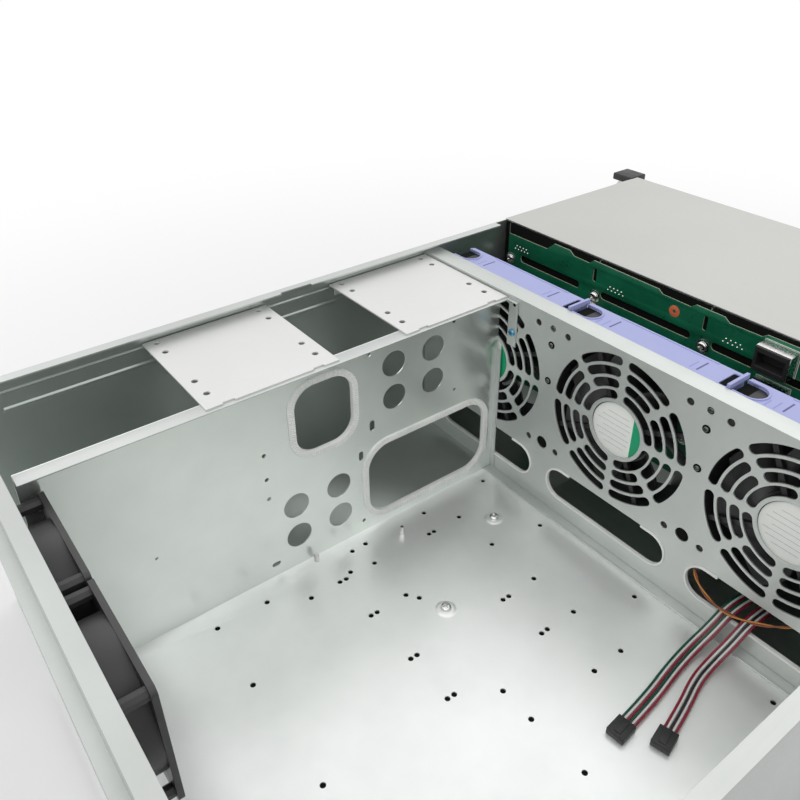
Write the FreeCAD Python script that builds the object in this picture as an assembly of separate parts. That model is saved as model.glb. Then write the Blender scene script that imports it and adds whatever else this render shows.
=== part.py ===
import FreeCAD, Part
import math
import os

# Four-unit rackmount server case, lid off.
# +Z up, front towards -Y, +X on the right seen from the front.
# Origin: centre of the flat base. Millimetres.

V = FreeCAD.Vector

# Case body
case_w = 430.0
case_h = 177.0
case_d = 645.0
sheet = 1.2
thin = 1.0
rim_w = 8.0
cover_t = 1.0
gap = 0.2

x_out = case_w / 2
x_in = x_out - sheet
y_front = -case_d / 2
y_rear = case_d / 2
wall_top = case_h - cover_t

# Drive cage: columns and rows of 3.5 inch trays
cage_d = 182.0
bay_cols = 4
bay_rows = 6
bay_pitch_x = 103.5
bay_pitch_z = 28.6
bay_z0 = 2.6
cage_wall = 1.0
rail_w = 3.0
tray_d = 172.0
bezel_d = 12.0
y_cage = y_front + cage_d

# Backplane
board_t = 1.6
board_off = 3.0
vent_w = 84.0
vent_h = 7.0
y_board = y_cage + board_off

# Fan wall, measured from the front
fan_wall_from_front = 275.0
fan_wall_h = 170.6
fan_flange = 15.2
fan_foot = 9.0
fan_pitch = 131.0
fan_count = 3
y_wall = y_front + fan_wall_from_front
y_wall_front = y_wall - sheet

# 120 x 38 fans in lift-off trays
fan_size = 120.0
fan_depth = 38.0
fan_rim = 2.5
tip_clear = 1.9
fan_z = 107.6
fan_clear = 0.3
fan_bore_r = fan_size / 2 - fan_rim
blade_tip_r = fan_bore_r - tip_clear
motor_cup = 4.0
spin_gap = 0.3
frame_hub_r = 24.0
rotor_hub_r = 25.5
blade_count = 7
tray_wall = 2.0
tray_top_t = 1.4
tray_bottom_t = 1.0

# Grille in the fan wall
grille_z = 108.3
slot_w = 5.6
web_w = 7.6
hub_hole_r = 21.5
hub_web = 2.5
ring_pitch = 9.0
ring_in = 3.5
ring_outer = fan_bore_r - ring_in
ring_count = int((ring_outer - hub_hole_r - hub_web - slot_w / 2) / ring_pitch) + 1
inner_arcs, outer_arcs = 4, 8

# Cable slots under the fans
cable_slot_w = 114.0
cable_slot_h = 28.0
cable_slot_z = 30.5
trim_t = 0.9
trim_lip = 1.8

# Divider between board bay and supply channel
divider_x = 120.8
divider_top = 167.2
divider_flange = 10.5
divider_rear_gap = 14.0
strip_lip = 6.5
strip_t = 1.1

# Bridge plates over the supply channel
bridge_w = 95.0
bridge_t = 1.2
bridge_front_from_wall = 1.2
bridge_rear_from_wall = 152.0
bridge_over_divider = 8.0
bridge_hole_r = 2.2
bridge_hole_x = (5.0, 19.8, 65.8, 83.3)
bridge_hole_inset = 8.4

# Rear fans
rear_fan = 80.0
rear_fan_d = 25.0
rear_bore_r = 38.0
rear_tip_r = 36.6
rear_hub_r = 18.0
rear_cup = 3.0
rear_fan_z = 114.2
rear_fan_gap = 0.5

# Rack ears
ear_w = 26.3
ear_t = 2.0
ear_slot_in = 8.75
ear_slot_z = 101.6
ear_slot_r = 3.5
ear_slot_len = 10.5
ear_mid_z = 88.5
rack_w = case_w + 2 * ear_w
ear_slot_x = rack_w - 2 * ear_slot_in


def box(x0, x1, y0, y1, z0, z1):
    return Part.makeBox(x1 - x0, y1 - y0, z1 - z0, V(x0, y0, z0))


def rod(r, p, axis, length):
    return Part.makeCylinder(r, length, V(*p), V(*axis))


def facet_rod(r, p, along, length, n):
    """Round bar or hole with n flat sides, along x, y or z."""
    pts = []
    for k in range(n):
        a, b = r * math.cos(2 * math.pi * (k + 0.5) / n), r * math.sin(2 * math.pi * (k + 0.5) / n)
        pts.append({"x": (0, a, b), "y": (a, 0, b), "z": (a, b, 0)}[along])
    pts = [(p[0] + q[0], p[1] + q[1], p[2] + q[2]) for q in pts]
    return prism(pts, {"x": (length, 0, 0), "y": (0, length, 0), "z": (0, 0, length)}[along])


def prism(points, direction):
    wire = Part.makePolygon([V(*p) for p in points] + [V(*points[0])])
    return Part.Face(wire).extrude(V(*direction))


def fuse(shapes):
    return shapes[0].multiFuse(shapes[1:]).removeSplitter() if len(shapes) > 1 else shapes[0]


def export(name, shape):
    shape.exportStep("parts/" + name + ".step")


def rounded(u0, u1, v0, v1, r, plane, at, depth):
    """Rounded rectangle: plane 'xz' runs along +Y, plane 'yz' along +X."""
    def p(u, v):
        return V(u, at, v) if plane == "xz" else V(at, u, v)
    k = r * (1 - math.sqrt(0.5))
    corners = [
        ((u1 - r, v0), (u1 - k, v0 + k), (u1, v0 + r)),
        ((u1, v1 - r), (u1 - k, v1 - k), (u1 - r, v1)),
        ((u0 + r, v1), (u0 + k, v1 - k), (u0, v1 - r)),
        ((u0, v0 + r), (u0 + k, v0 + k), (u0 + r, v0)),
    ]
    edges = []
    last = corners[-1][2]
    for a, m, b in corners:
        if math.dist(last, a) > 1e-6:
            edges.append(Part.makeLine(p(*last), p(*a)))
        edges.append(Part.Arc(p(*a), p(*m), p(*b)).toShape())
        last = b
    face = Part.Face(Part.Wire(edges))
    return face.extrude(V(0, depth, 0) if plane == "xz" else V(depth, 0, 0))


def soft_box(u0, u1, v0, v1, r, x, depth, n=4):
    """Opening outline with corners of n flats each, in the YZ plane, running along +X."""
    pts = []
    for cu, cv, start in ((u1 - r, v0 + r, -90), (u1 - r, v1 - r, 0), (u0 + r, v1 - r, 90), (u0 + r, v0 + r, 180)):
        for k in range(n + 1):
            a = math.radians(start + 90.0 * k / n)
            pts.append((x, cu + r * math.cos(a), cv + r * math.sin(a)))
    return prism(pts, (depth, 0, 0))


def obround(x, z, w, h, y0, depth):
    return rounded(x - w / 2, x + w / 2, z - h / 2, z + h / 2, h / 2 - 0.001, "xz", y0, depth)


def fan_x(i):
    return fan_pitch * (1 - i)


def fold_bead(side, z, height, depth, y0, y1):
    x = side * x_in
    d = -side * depth
    pts = [(x, y0, z), (x, y0, z + height), (x + d, y0, z + height * 0.65), (x + d, y0, z + height * 0.35)]
    return prism(pts, (0, y1 - y0, 0))


# ---- Chassis: floor, side walls, rolled rims, pressed bosses ----
boss_places = ((68.4, 44.0), (20.5, 133.5))
boss_r, boss_h, boss_top_r = 8.0, 1.6, 5.0
bead_out = 0.9
rim_front = y_cage + 13.0
rim_notch_y, rim_notch_len, rim_notch_w = 127.5, 26.0, 2.4


def chassis():
    parts = [box(-x_out, x_out, y_front, y_rear, 0, sheet)]
    for s in (-1, 1):
        a, b = sorted((s * x_out, s * x_in))
        parts.append(box(a, b, y_front, y_rear, sheet, wall_top))
        c, d = sorted((s * x_in, s * (x_out - rim_w)))
        parts.append(box(c, d, rim_front, y_rear - sheet, wall_top - sheet, wall_top))
        for z, h in ((163.5, 2.4), (150.5, 3.6)):
            parts.append(fold_bead(s, z, h, bead_out, y_wall + 20, y_rear - 30))
    for x, y in boss_places:
        parts.append(Part.makeCone(boss_r, boss_top_r, boss_h, V(x, y_wall + y, sheet)))
    body = fuse(parts)
    notches = []
    for s in (-1, 1):
        c, d = sorted((s * (x_out - rim_w), s * (x_out - rim_w + rim_notch_w)))
        y = y_wall + rim_notch_y
        notches.append(box(c, d, y - rim_notch_len / 2, y + rim_notch_len / 2, wall_top - 2, wall_top + 1))
    return body.cut(Part.makeCompound(notches))


# ---- Rear panel ----
io_w, io_h, io_z = 158.8, 44.5, 9.0
slot_count, slot_pitch, slot_open_w, slot_open_h, slot_z = 7, 20.32, 13.0, 107.0, 10.0
psu_w, psu_h, psu_z = 84.0, 148.0, 8.0
rear_rim = 9.0


def rear_fan_x(i):
    return divider_x - 2.3 - rear_fan / 2 - i * (rear_fan + rear_fan_gap)


def io_x():
    return divider_x - 5.8 - io_w / 2


def slot_x(i):
    return io_x() - io_w / 2 - 12.0 - i * slot_pitch


def rear_panel():
    y0 = y_rear - sheet
    x1 = x_in - gap
    top = wall_top - sheet
    panel = box(-x1, x1, y0, y_rear, sheet, top)
    fold = box(-x1, x1, y_rear - rear_rim, y0, top - sheet, top)
    ledge = box(-x1 + 8, divider_x, y_rear, y_rear + 6.5, 160.0, 161.2)
    body = fuse([panel, fold, ledge])
    cuts = [box(io_x() - io_w / 2, io_x() + io_w / 2, y0 - 1, y_rear + 1, io_z, io_z + io_h)]
    xp = (divider_x + thin + x_in) / 2
    cuts.append(box(xp - psu_w / 2, xp + psu_w / 2, y0 - 1, y_rear + 1, psu_z, psu_z + psu_h))
    for i in range(slot_count):
        x = slot_x(i)
        cuts.append(box(x - slot_open_w / 2, x + slot_open_w / 2, y0 - 1, y_rear + 1, slot_z, slot_z + slot_open_h))
    for i in range(2):
        x = rear_fan_x(i)
        for k in range(-4, 5):
            z = rear_fan_z + k * 7.6
            half = math.sqrt(max(rear_bore_r ** 2 - (k * 7.6 + 2) ** 2, 100.0)) - 3.0
            cuts.append(box(x - half, x + half, y0 - 1, y_rear + 1, z - 2.2, z + 2.2))
    return body.cut(Part.makeCompound(cuts))


def slot_covers():
    """Blanking covers: blade in front of each slot, top folded over the inside."""
    y1 = y_rear - sheet
    covers = []
    for i in range(slot_count):
        x = slot_x(i)
        blade = box(x - 9.0, x + 9.0, y1 - 0.9, y1, slot_z - 3, slot_z + slot_open_h + 4)
        ear = box(x - 9.0, x + 9.0, y1 - 11.0, y1 - 0.9, slot_z + slot_open_h + 3.1, slot_z + slot_open_h + 4)
        covers.append(blade.fuse(ear).removeSplitter())
    return Part.makeCompound(covers)


# ---- Divider wall with grommeted openings ----
hole_r = 10.2
hole_grids = ((83.9, 128.7), (171.6, 43.0))
hole_dy, hole_dz = 36.0, 28.0
opening_upper = (139.0, 185.0, 98.0, 152.0, 10.0)
opening_lower = (12.4, 127.5, 12.5, 76.5, 16.0)
tab_w, tab_low, tab_x = 9.4, 128.5, 101.0


def divider():
    y0, y1 = y_wall, y_rear - divider_rear_gap
    x0, x1 = divider_x, divider_x + thin
    z1 = divider_top
    parts = [
        box(x0, x1, y0, y1, sheet, z1),
        box(x0 - divider_flange, x0, y0 + 2.6, y1, z1 - thin, z1),
        box(x1, x1 + 11.0, y0 + 8, y1, sheet, sheet + thin),
        box(tab_x, tab_x + tab_w, y0, y0 + thin, tab_low, z1),
        box(tab_x, x0, y0, y0 + 2.6, z1 - thin, z1),
    ]
    body = fuse(parts)
    cuts = []
    for cy, cz in hole_grids:
        for a in (-0.5, 0.5):
            for b in (-0.5, 0.5):
                hole = (x0 - 1, y_wall + cy + a * hole_dy, cz + b * hole_dz)
                cuts.append(facet_rod(hole_r, hole, "x", 3, 16))
    for u0, u1, v0, v1, r in (opening_upper, opening_lower):
        o = strip_t
        cuts.append(soft_box(y_wall + u0 - o, y_wall + u1 + o, v0 - o, v1 + o, r + o, x0 - 1, 3))
    return body.cut(Part.makeCompound(cuts))


def edge_strip(opening):
    """Nylon edge strip: U section round the opening, both lips over the sheet."""
    u0, u1, v0, v1, r = opening
    c = 0.06
    t = 1.0

    def ring(grow_out, x, depth):
        big = soft_box(y_wall + u0 - grow_out, y_wall + u1 + grow_out, v0 - grow_out, v1 + grow_out,
                       r + grow_out, x, depth)
        small = soft_box(y_wall + u0, y_wall + u1, v0, v1, r, x - 1, depth + 2)
        return big.cut(small)
    x0, x1 = divider_x - c, divider_x + thin + c
    return fuse([ring(strip_lip, x0 - t, t), ring(strip_t - c, x0, x1 - x0), ring(strip_lip, x1, t)])


# ---- Fan wall: punched grilles, cable slots ----
def arc_slot(cx, cz, r, a0, a1, y0, depth):
    """Curved slot with bevelled ends, from angle a0 to a1 on radius r."""
    h = slot_w / 2
    n = max(2, math.ceil((a1 - a0) / 0.55))
    tip, side = h / r, 0.62

    def p(rad, ang):
        return (cx + rad * math.cos(ang), y0, cz + rad * math.sin(ang))
    outer = [p(r + h, a0 + (a1 - a0) * k / n) for k in range(n + 1)]
    inner = [p(r - h, a1 - (a1 - a0) * k / n) for k in range(n + 1)]
    end1 = [p(r + h * side, a1 + tip * 0.8), p(r - h * side, a1 + tip * 0.8)]
    end0 = [p(r - h * side, a0 - tip * 0.8), p(r + h * side, a0 - tip * 0.8)]
    return prism(outer + end1 + inner + end0, (0, depth, 0))


def grille(cx, cz, y0, depth):
    cuts = [rod(hub_hole_r, (cx, y0, cz), (0, 1, 0), depth)]
    for ring in range(ring_count):
        r = ring_outer - ring_pitch * ring
        n = inner_arcs if ring == ring_count - 1 else outer_arcs
        step = 2 * math.pi / n
        trim = (web_w / 2 + slot_w / 2) / r
        for k in range(n):
            cuts.append(arc_slot(cx, cz, r, k * step + trim, (k + 1) * step - trim, y0, depth))
    return cuts


def fan_wall():
    x1 = x_in - gap
    parts = [
        box(-x1, x1, y_wall_front, y_wall, sheet, fan_wall_h),
        box(-x1, x1, y_wall - fan_flange, y_wall_front, fan_wall_h - sheet, fan_wall_h),
        box(-x1, divider_x - gap, y_wall, y_wall + fan_foot, sheet, 2 * sheet),
    ]
    for s in (-1, 1):
        a, b = sorted((s * x1, s * (x1 - sheet)))
        parts.append(box(a, b, y_wall - fan_flange, y_wall_front, sheet, fan_wall_h - sheet))
    body = fuse(parts)
    cuts = []
    y0, depth = y_wall_front - 1, sheet + 2
    for i in range(fan_count):
        cuts += grille(fan_x(i), grille_z, y0, depth)
        cuts.append(obround(fan_x(i), cable_slot_z, cable_slot_w, cable_slot_h, y0, depth))
    for s in (-1, 1):
        cuts.append(rod(5.0, (s * fan_pitch / 2, y0, 59.0), (0, 1, 0), depth))
        cuts.append(rod(2.2, (s * fan_pitch / 2, y0, 160.5), (0, 1, 0), depth))
    return body.cut(Part.makeCompound(cuts))


def cable_slot_trims():
    """Edge trim pushed on the two round ends of each cable slot."""
    c = 0.05
    r = cable_slot_h / 2
    y0, y1 = y_wall_front - c, y_wall + c
    trims = []
    for i in range(fan_count):
        for s in (-1, 1):
            cx = fan_x(i) + s * (cable_slot_w / 2 - r)

            def half_ring(r0, r1, ya, yb):
                outer, inner = [], []
                for k in range(9):
                    a = math.pi * (k / 8 - 0.5)
                    outer.append((cx + s * r1 * math.cos(a), ya, cable_slot_z + r1 * math.sin(a)))
                    inner.append((cx + s * r0 * math.cos(a), ya, cable_slot_z + r0 * math.sin(a)))
                return prism(outer + inner[::-1], (0, yb - ya, 0))
            fit = (r - c) * math.cos(math.pi / 16)
            trims.append(fuse([
                half_ring(r - trim_t, r + trim_lip, y0 - 0.8, y0),
                half_ring(r - trim_t, fit, y0, y1),
                half_ring(r - trim_t, r + trim_lip, y1, y1 + 0.8),
            ]))
    return Part.makeCompound(trims)


tray_fit = 0.15
tray_slide = 0.2
shelf_top = fan_z - fan_size / 2 - tray_fit - tray_bottom_t - tray_slide
shelf_d = 62.0
post_h = 150.0


def lead_clip(end):
    """Folded tab under the shelf that holds one end of the fan lead."""
    x, y, z = end
    return box(x - clip_w / 2, x + clip_w / 2, y - clip_w, y, z - 2.2, shelf_top - sheet)


def fan_shelf():
    """Shelf that carries the fan trays, on fins that also guide them."""
    x1 = x_in - gap - sheet - 0.1
    y0 = y_wall_front - shelf_d
    parts = [box(-x1, x1, y0, y_wall_front - trim_lip, shelf_top - sheet, shelf_top)]
    for x in (-x1 + sheet / 2, -fan_pitch / 2, fan_pitch / 2, x1 - sheet / 2):
        parts.append(box(x - sheet / 2, x + sheet / 2, y0, y_wall_front, sheet, shelf_top - sheet))
    for s in (-1, 1):
        x = s * fan_pitch / 2
        parts.append(box(x - sheet / 2, x + sheet / 2, y_wall_front - 30, y_wall_front, shelf_top, post_h))
        parts.append(box(x - 2.4, x - sheet / 2, y_wall_front - thin, y_wall_front, shelf_top, post_h))
    parts += [lead_clip(lead_route[0]), lead_clip(lead_route[-1])]
    return fuse(parts)


# ---- Fan trays, fans ----
y_fan = y_wall_front - fan_clear
tray_in = fan_size / 2 + tray_fit
tray_out = tray_in + tray_wall
tray_front = y_fan - fan_depth + 0.4
tray_top_w = fan_pitch - 2.0
tray_top_z = fan_z + fan_size / 2 + tray_fit + tray_top_t
finger_x, finger_w = 51.0, 18.0
latch_x, latch_w = -57.5, 11.0


def fan_tray(i):
    x = fan_x(i)
    y0, y1 = tray_front, y_fan
    z0 = shelf_top + tray_slide
    zt = tray_top_z - tray_top_t
    lip_y = y_wall - fan_flange
    parts = [
        box(x - tray_top_w / 2, x + tray_top_w / 2, y0, y1, zt, tray_top_z),
        box(x - tray_out, x + tray_out, y0, y1, z0, z0 + tray_bottom_t),
    ]
    for s in (-1, 1):
        a, b = sorted((s * tray_in, s * tray_out))
        parts.append(box(x + a, x + b, y0, y1, z0 + tray_bottom_t, zt))
    body = fuse(parts)
    depth = lip_y - 1.0 - (y0 + 3.0)
    finger = Part.makeCylinder(finger_w / 2, 6, V(x + finger_x, y0 + 3.0 + finger_w / 2, zt - 2))
    finger = finger.fuse(box(x + finger_x - finger_w / 2, x + finger_x + finger_w / 2,
                             y0 + 3.0 + finger_w / 2, lip_y + 4.0, zt - 2, zt + 4))
    latch = box(x + latch_x - latch_w / 2, x + latch_x + latch_w / 2, y0 + 3.0, y0 + 3.0 + depth, zt - 2, zt + 4)
    body = body.cut(Part.makeCompound([finger, latch]))
    arm_x = x + latch_x - latch_w / 2
    arm = box(arm_x - 2.2, arm_x, y0 + 1.0, lip_y - 1.5, tray_top_z, tray_top_z + 3.2)
    return body.fuse(arm).removeSplitter()


def fan_frame(x, z, y_back, size, depth, bore_r, hub_r, toward):
    """Square fan housing; toward is the side (+1 rear, -1 front) with struts and motor cup."""
    h = size / 2
    body = rounded(x - h, x + h, z - h, z + h, 5.0, "xz", y_back - depth, depth)
    body = body.cut(rod(bore_r, (x, y_back - depth - 1, z), (0, 1, 0), depth + 2))
    ys = y_back - motor_cup if toward > 0 else y_back - depth
    struts = [rod(hub_r, (x, ys, z), (0, 1, 0), motor_cup)]
    for k in range(4):
        bar = box(hub_r - 2, bore_r + 0.8, ys, ys + motor_cup - 1.0, -1.8, 1.8)
        bar.rotate(V(0, 0, 0), V(0, 1, 0), 25 + 90 * k)
        bar.translate(V(x, 0, z))
        struts.append(bar)
    return fuse([body] + struts)


def open_frame(x, z, y_back, size, depth, bore_r, hub_r):
    """Fan housing with two flanges, a duct and corner posts."""
    h = size / 2
    t = 3.2
    parts = []
    for y in (y_back - depth, y_back - t):
        parts.append(rounded(x - h, x + h, z - h, z + h, 4.0, "xz", y, t))
    parts.append(rod(bore_r + 1.6, (x, y_back - depth + 1, z), (0, 1, 0), depth - 2))
    c = h - 5.2
    for a in (-1, 1):
        for b in (-1, 1):
            parts.append(facet_rod(3.6, (x + a * c, y_back - depth + 1, z + b * c), "y", depth - 2, 8))
    body = fuse(parts).cut(rod(bore_r, (x, y_back - depth - 1, z), (0, 1, 0), depth + 2))
    bars = [rod(hub_r, (x, y_back - rear_cup, z), (0, 1, 0), rear_cup)]
    for k in range(3):
        bar = box(hub_r - 2, bore_r + 1.0, y_back - rear_cup, y_back - 0.6, -1.6, 1.6)
        bar.rotate(V(0, 0, 0), V(0, 1, 0), 45 + 120 * k)
        bar.translate(V(x, 0, z))
        bars.append(bar)
    return fuse([body] + bars)


def blade_section(x, chord, pitch, lead):
    """Cambered blade section in the plane at distance x from the shaft."""
    a, camber, t = math.radians(pitch), 1.8, 0.9

    def at(u, w):
        return V(x, u * math.sin(a) + w * math.cos(a), lead + u * math.cos(a) - w * math.sin(a))
    h = chord / 2
    return Part.Wire([Part.Arc(at(-h, 0), at(0, camber + t), at(h, 0)).toShape(),
                      Part.Arc(at(h, 0), at(0, camber - t), at(-h, 0)).toShape()])


def rotor(x, z, y0, y1, hub_r, tip_r, count, root_pitch, tip_pitch):
    """Hub cup with twisted, swept blades between y0 (front) and y1 (back)."""
    h = y1 - y0
    root, tip = math.radians(root_pitch), math.radians(tip_pitch)
    sections = [blade_section(hub_r * 0.86, (h - 2.5) / math.sin(root), root_pitch, 0),
                blade_section(tip_r + 1, (h - 2.5) * 0.92 / math.sin(tip), tip_pitch, hub_r * 0.25)]
    blade = Part.makeLoft(sections, True, False)
    blade = blade.common(rod(tip_r, (0, -h / 2, 0), (0, 1, 0), h)).Solids[0]
    blades = []
    for k in range(count):
        one = blade.copy()
        one.rotate(V(0, 0, 0), V(0, 1, 0), 360.0 * k / count)
        blades.append(one)
    body = rod(hub_r, (0, -h / 2, 0), (0, 1, 0), h).multiFuse(blades).Solids[0]
    body.translate(V(x, (y0 + y1) / 2, z))
    return body


# ---- Bridge plates ----
def bridge_plate(y0):
    x0, x1 = divider_x - bridge_over_divider, x_in - bead_out - 0.3
    z0 = divider_top
    plate = box(x0, x1, y0, y0 + bridge_w, z0, z0 + bridge_t)
    fold = box(x1 - bridge_t, x1, y0 + 4, y0 + bridge_w - 4, z0 - 9, z0)
    body = plate.fuse(fold).removeSplitter()
    cuts = []
    for hx in bridge_hole_x:
        for hy in (bridge_hole_inset, bridge_w - bridge_hole_inset):
            cuts.append(facet_rod(bridge_hole_r, (x1 - hx, y0 + hy, z0 - 1), "z", 4, 6))
    for hy in (bridge_hole_inset + 7, bridge_w - bridge_hole_inset - 7):
        cuts.append(box(x0 - 1, x0 + 1.5, y0 + hy - 4, y0 + hy + 4, z0 - 1, z0 + 3))
    return body.cut(Part.makeCompound(cuts))


# ---- Drive cage, trays, backplane, cover ----
def column_x(c):
    return (c - (bay_cols - 1) / 2) * bay_pitch_x


def row_z(r):
    return bay_z0 + r * bay_pitch_z


cage_x = bay_cols * bay_pitch_x / 2


def drive_cage():
    y0, y1 = y_front + 0.5, y_board - board_t
    z0, z1 = sheet, wall_top
    x1 = x_in - gap
    parts = [box(-x1, x1, y0, y_cage - 0.5, z1 - cage_wall, z1)]
    for c in range(bay_cols + 1):
        x = (c - bay_cols / 2) * bay_pitch_x
        parts.append(box(x - cage_wall / 2, x + cage_wall / 2, y0, y1, z0, z1 - cage_wall))
        for r in range(bay_rows):
            z = row_z(r)
            a = x - cage_wall / 2 - rail_w if c > 0 else x
            b = x + cage_wall / 2 + rail_w if c < bay_cols else x
            parts.append(box(a, b, y0 + bezel_d + 2, y1 - 2, z - 1.0, z))
    return fuse(parts)


def drive_tray(c, r):
    """Drive carrier: bezel with finger recess, two side rails, floor and back bar."""
    x, z = column_x(c), row_z(r)
    half = bay_pitch_x / 2 - cage_wall / 2 - 0.5
    y0 = y_front + 0.2
    zb, zt = z + 0.3, z + bay_pitch_z - 2.1
    bezel = box(x - half, x + half, y0, y0 + bezel_d, zb, zt)
    recess = box(x + half - 26, x + half - 4, y0 - 1, y0 + 7, zb + 5, zt - 5)
    bezel = bezel.cut(recess)
    y1 = y0 + tray_d
    parts = [
        bezel,
        box(x - half, x - half + 1.6, y0 + bezel_d, y1, zb, zt - 6),
        box(x + half - 1.6, x + half, y0 + bezel_d, y1, zb, zt - 6),
        box(x - half + 1.6, x + half - 1.6, y0 + bezel_d, y1, zb, zb + 1.2),
    ]
    return fuse(parts)


def backplane():
    half = cage_x
    z0, z1 = 4.0, wall_top - 1.6
    body = box(-half, half, y_board - board_t, y_board, z0, z1)
    cuts = []
    for c in range(bay_cols):
        x = column_x(c)
        cuts.append(box(x + 12 - bay_pitch_x / 2, x + 34 - bay_pitch_x / 2, y_board - 3, y_board + 1, z1 - 4, z1 + 1))
        for r in range(1, bay_rows):
            z = row_z(r) + 0.5
            cuts.append(box(x - vent_w / 2, x + vent_w / 2, y_board - 3, y_board + 1, z - vent_h / 2, z + vent_h / 2))
    return body.cut(Part.makeCompound(cuts))


sas_x, sas_w, sas_h, sas_d = -57.0, 24.0, 18.0, 13.0
power_x, power_w = -119.0, 22.0


def backplane_connectors():
    """One data and one power header per row of bays."""
    blocks = []
    for r in range(bay_rows):
        z = row_z(r) + 6.0
        for x, w in ((sas_x, sas_w), (power_x, power_w)):
            b = box(x - w / 2, x + w / 2, y_board, y_board + sas_d, z, z + sas_h)
            b = b.cut(box(x - w / 2 + 2, x + w / 2 - 2, y_board + 3, y_board + sas_d + 1, z + 4, z + sas_h - 4))
            blocks.append(b)
    return Part.makeCompound(blocks)


def cage_cover():
    top = box(-x_out, x_out, y_front, y_cage, wall_top, case_h)
    return top


# ---- Ears and handles ----
ear_inner_w = 16.0
ear_end_cut = 16.0
handle_w, handle_out, handle_end = 14.0, 36.0, 14.0
handle_bar, handle_open_z = 12.0, 31.0
handle_top = case_h + 0.5


def rack_ear(s):
    """Folded steel ear: strap screwed to the side wall, slotted flange in the front plane."""
    xa, xb, xc = s * (x_out + ear_t), s * (x_out + ear_inner_w), s * rack_w / 2
    z0, z1 = 1.0, case_h - 1.0
    flange = [(xa, z0), (xb, z0), (xc, z0 + ear_end_cut), (xc, z1 - ear_end_cut), (xb, z1), (xa, z1)]
    a, b = sorted((s * x_out, xa))
    body = fuse([
        prism([(x, y_front, z) for x, z in flange], (0, ear_t, 0)),
        box(a, b, y_front, y_front + 34, z0, z1),
    ])
    cuts = []
    for dz in (-ear_slot_z / 2, ear_slot_z / 2):
        cuts.append(obround(s * ear_slot_x / 2, ear_mid_z + dz, ear_slot_len, 2 * ear_slot_r, y_front - 1, ear_t + 2))
    return body.cut(Part.makeCompound(cuts))


def handle(s):
    """Moulded grip: full-height end blocks that sweep forward into a bar."""
    x = x_out + 1.0 if s > 0 else -x_out - 1.0 - handle_w
    z0, z1, m = 1.0, handle_top, handle_end
    side = [(0, z0), (m, z0), (m, z0 + 8), (handle_out, z0 + 34), (handle_out, z1 - 44),
            (m, z1 - 22), (m, z1), (0, z1)]
    outer = prism([(x, y_front - d, z) for d, z in side], (handle_w, 0, 0))
    near = [e for e in outer.Edges if e.BoundBox.XLength > 1 and e.BoundBox.YMax < y_front - 1]
    outer = outer.makeFillet(2.4, near)
    d1 = handle_out - handle_bar
    cuts = [rounded(y_front - d1, y_front + 20, handle_open_z, z0 + z1 - handle_open_z, 8.0, "yz", x - 1,
                    handle_w + 2)]
    if s > 0:
        floor = button_y() + button_l + button_travel + 0.3
        cuts.append(rod(button_r + 0.3, (button_x(), y_front - m - 5, button_z), (0, 1, 0), floor - y_front + m + 5))
    return outer.cut(Part.makeCompound(cuts))


# ---- Power button in the right grip's top block ----
button_r, button_l, button_travel, button_proud = 3.6, 7.0, 1.2, 1.5
button_z = handle_top - 11.0


def button_x():
    return x_out + 1.0 + handle_w / 2


def button_y():
    return y_front - handle_end - button_proud


def power_button():
    """Round push button with a shallow dish in its face."""
    body = rod(button_r, (button_x(), button_y(), button_z), (0, 1, 0), button_l)
    dish = Part.makeSphere(9.0, V(button_x(), button_y() - 8.5, button_z))
    return body.cut(dish)


# ---- Screws ----
def screw_head(p, along, r, h):
    return facet_rod(r, p, along, h, 6)


def case_screws():
    heads = []
    for s in (-1, 1):
        for z in (146.8, 116.2):
            heads.append(screw_head((s * fan_pitch / 2, y_wall, z), "y", 3.2, 1.8))
    heads.append(screw_head((tab_x + tab_w / 2 - 0.4, y_wall + thin, 140.3), "y", 3.3, 1.8))
    for x, y in boss_places:
        heads.append(screw_head((x, y_wall + y, sheet + boss_h), "z", 3.4, 2.0))
    for c in range(bay_cols + 1):
        x = max(min((c - bay_cols / 2) * bay_pitch_x, cage_x - 5), -cage_x + 5)
        for z in (row_z(bay_rows - 1) - 1.6, row_z(2) + 0.2):
            heads.append(screw_head((x, y_board, z), "y", 4.0, 2.2))
    return Part.makeCompound(heads)


# ---- Cords: panel wires and fan lead from cable slot 3 ----
wire_r, lead_r = 2.6, 1.2
tube_flats = 10
wire_low = sheet + wire_r + 0.1
header_y, header_z = y_board + sas_d, row_z(0) + 6.0 + sas_h / 2
wire_route = [
    (power_x + 5.6, header_y, header_z), (power_x + 5.6, header_y + 14, header_z), (-112.5, y_wall - 46, 21.5),
    (-111, y_wall - 22, 25.0), (-108.5, y_wall - 3.5, 23.2), (-106.5, y_wall + 10.5, 11.5),
    (-105, y_wall + 27.5, wire_low + 0.3), (-107.5, y_wall + 51.5, wire_low),
    (-112.5, y_wall + 78, wire_low), (-115, y_wall + 104, wire_low),
]
wire_route_2 = [
    (power_x - 5.4, header_y, header_z), (power_x - 5.4, header_y + 14, header_z), (-124.2, y_wall - 46, 21.0),
    (-124.5, y_wall - 22, 24.5), (-123, y_wall - 3.5, 23.0), (-121.5, y_wall + 10.5, 12.0),
    (-120, y_wall + 26, wire_low + 0.3), (-122, y_wall + 46, wire_low),
    (-129, y_wall + 68, wire_low), (-134, y_wall + 89, wire_low),
]
lead_route = [
    (-72, y_wall - 22.5, 41.5), (-72, y_wall - 12.5, 41.5), (-80, y_wall + 0.5, 36), (-96, y_wall + 5.5, 27),
    (-118, y_wall + 5.5, 27.5), (-142, y_wall - 0.5, 37), (-152, y_wall - 12.5, 41.5),
    (-152, y_wall - 22.5, 41.5),
]
clip_w = 7.0
plug_l = 14.0
plug_w, plug_t = 12.0, 5.2


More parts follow.
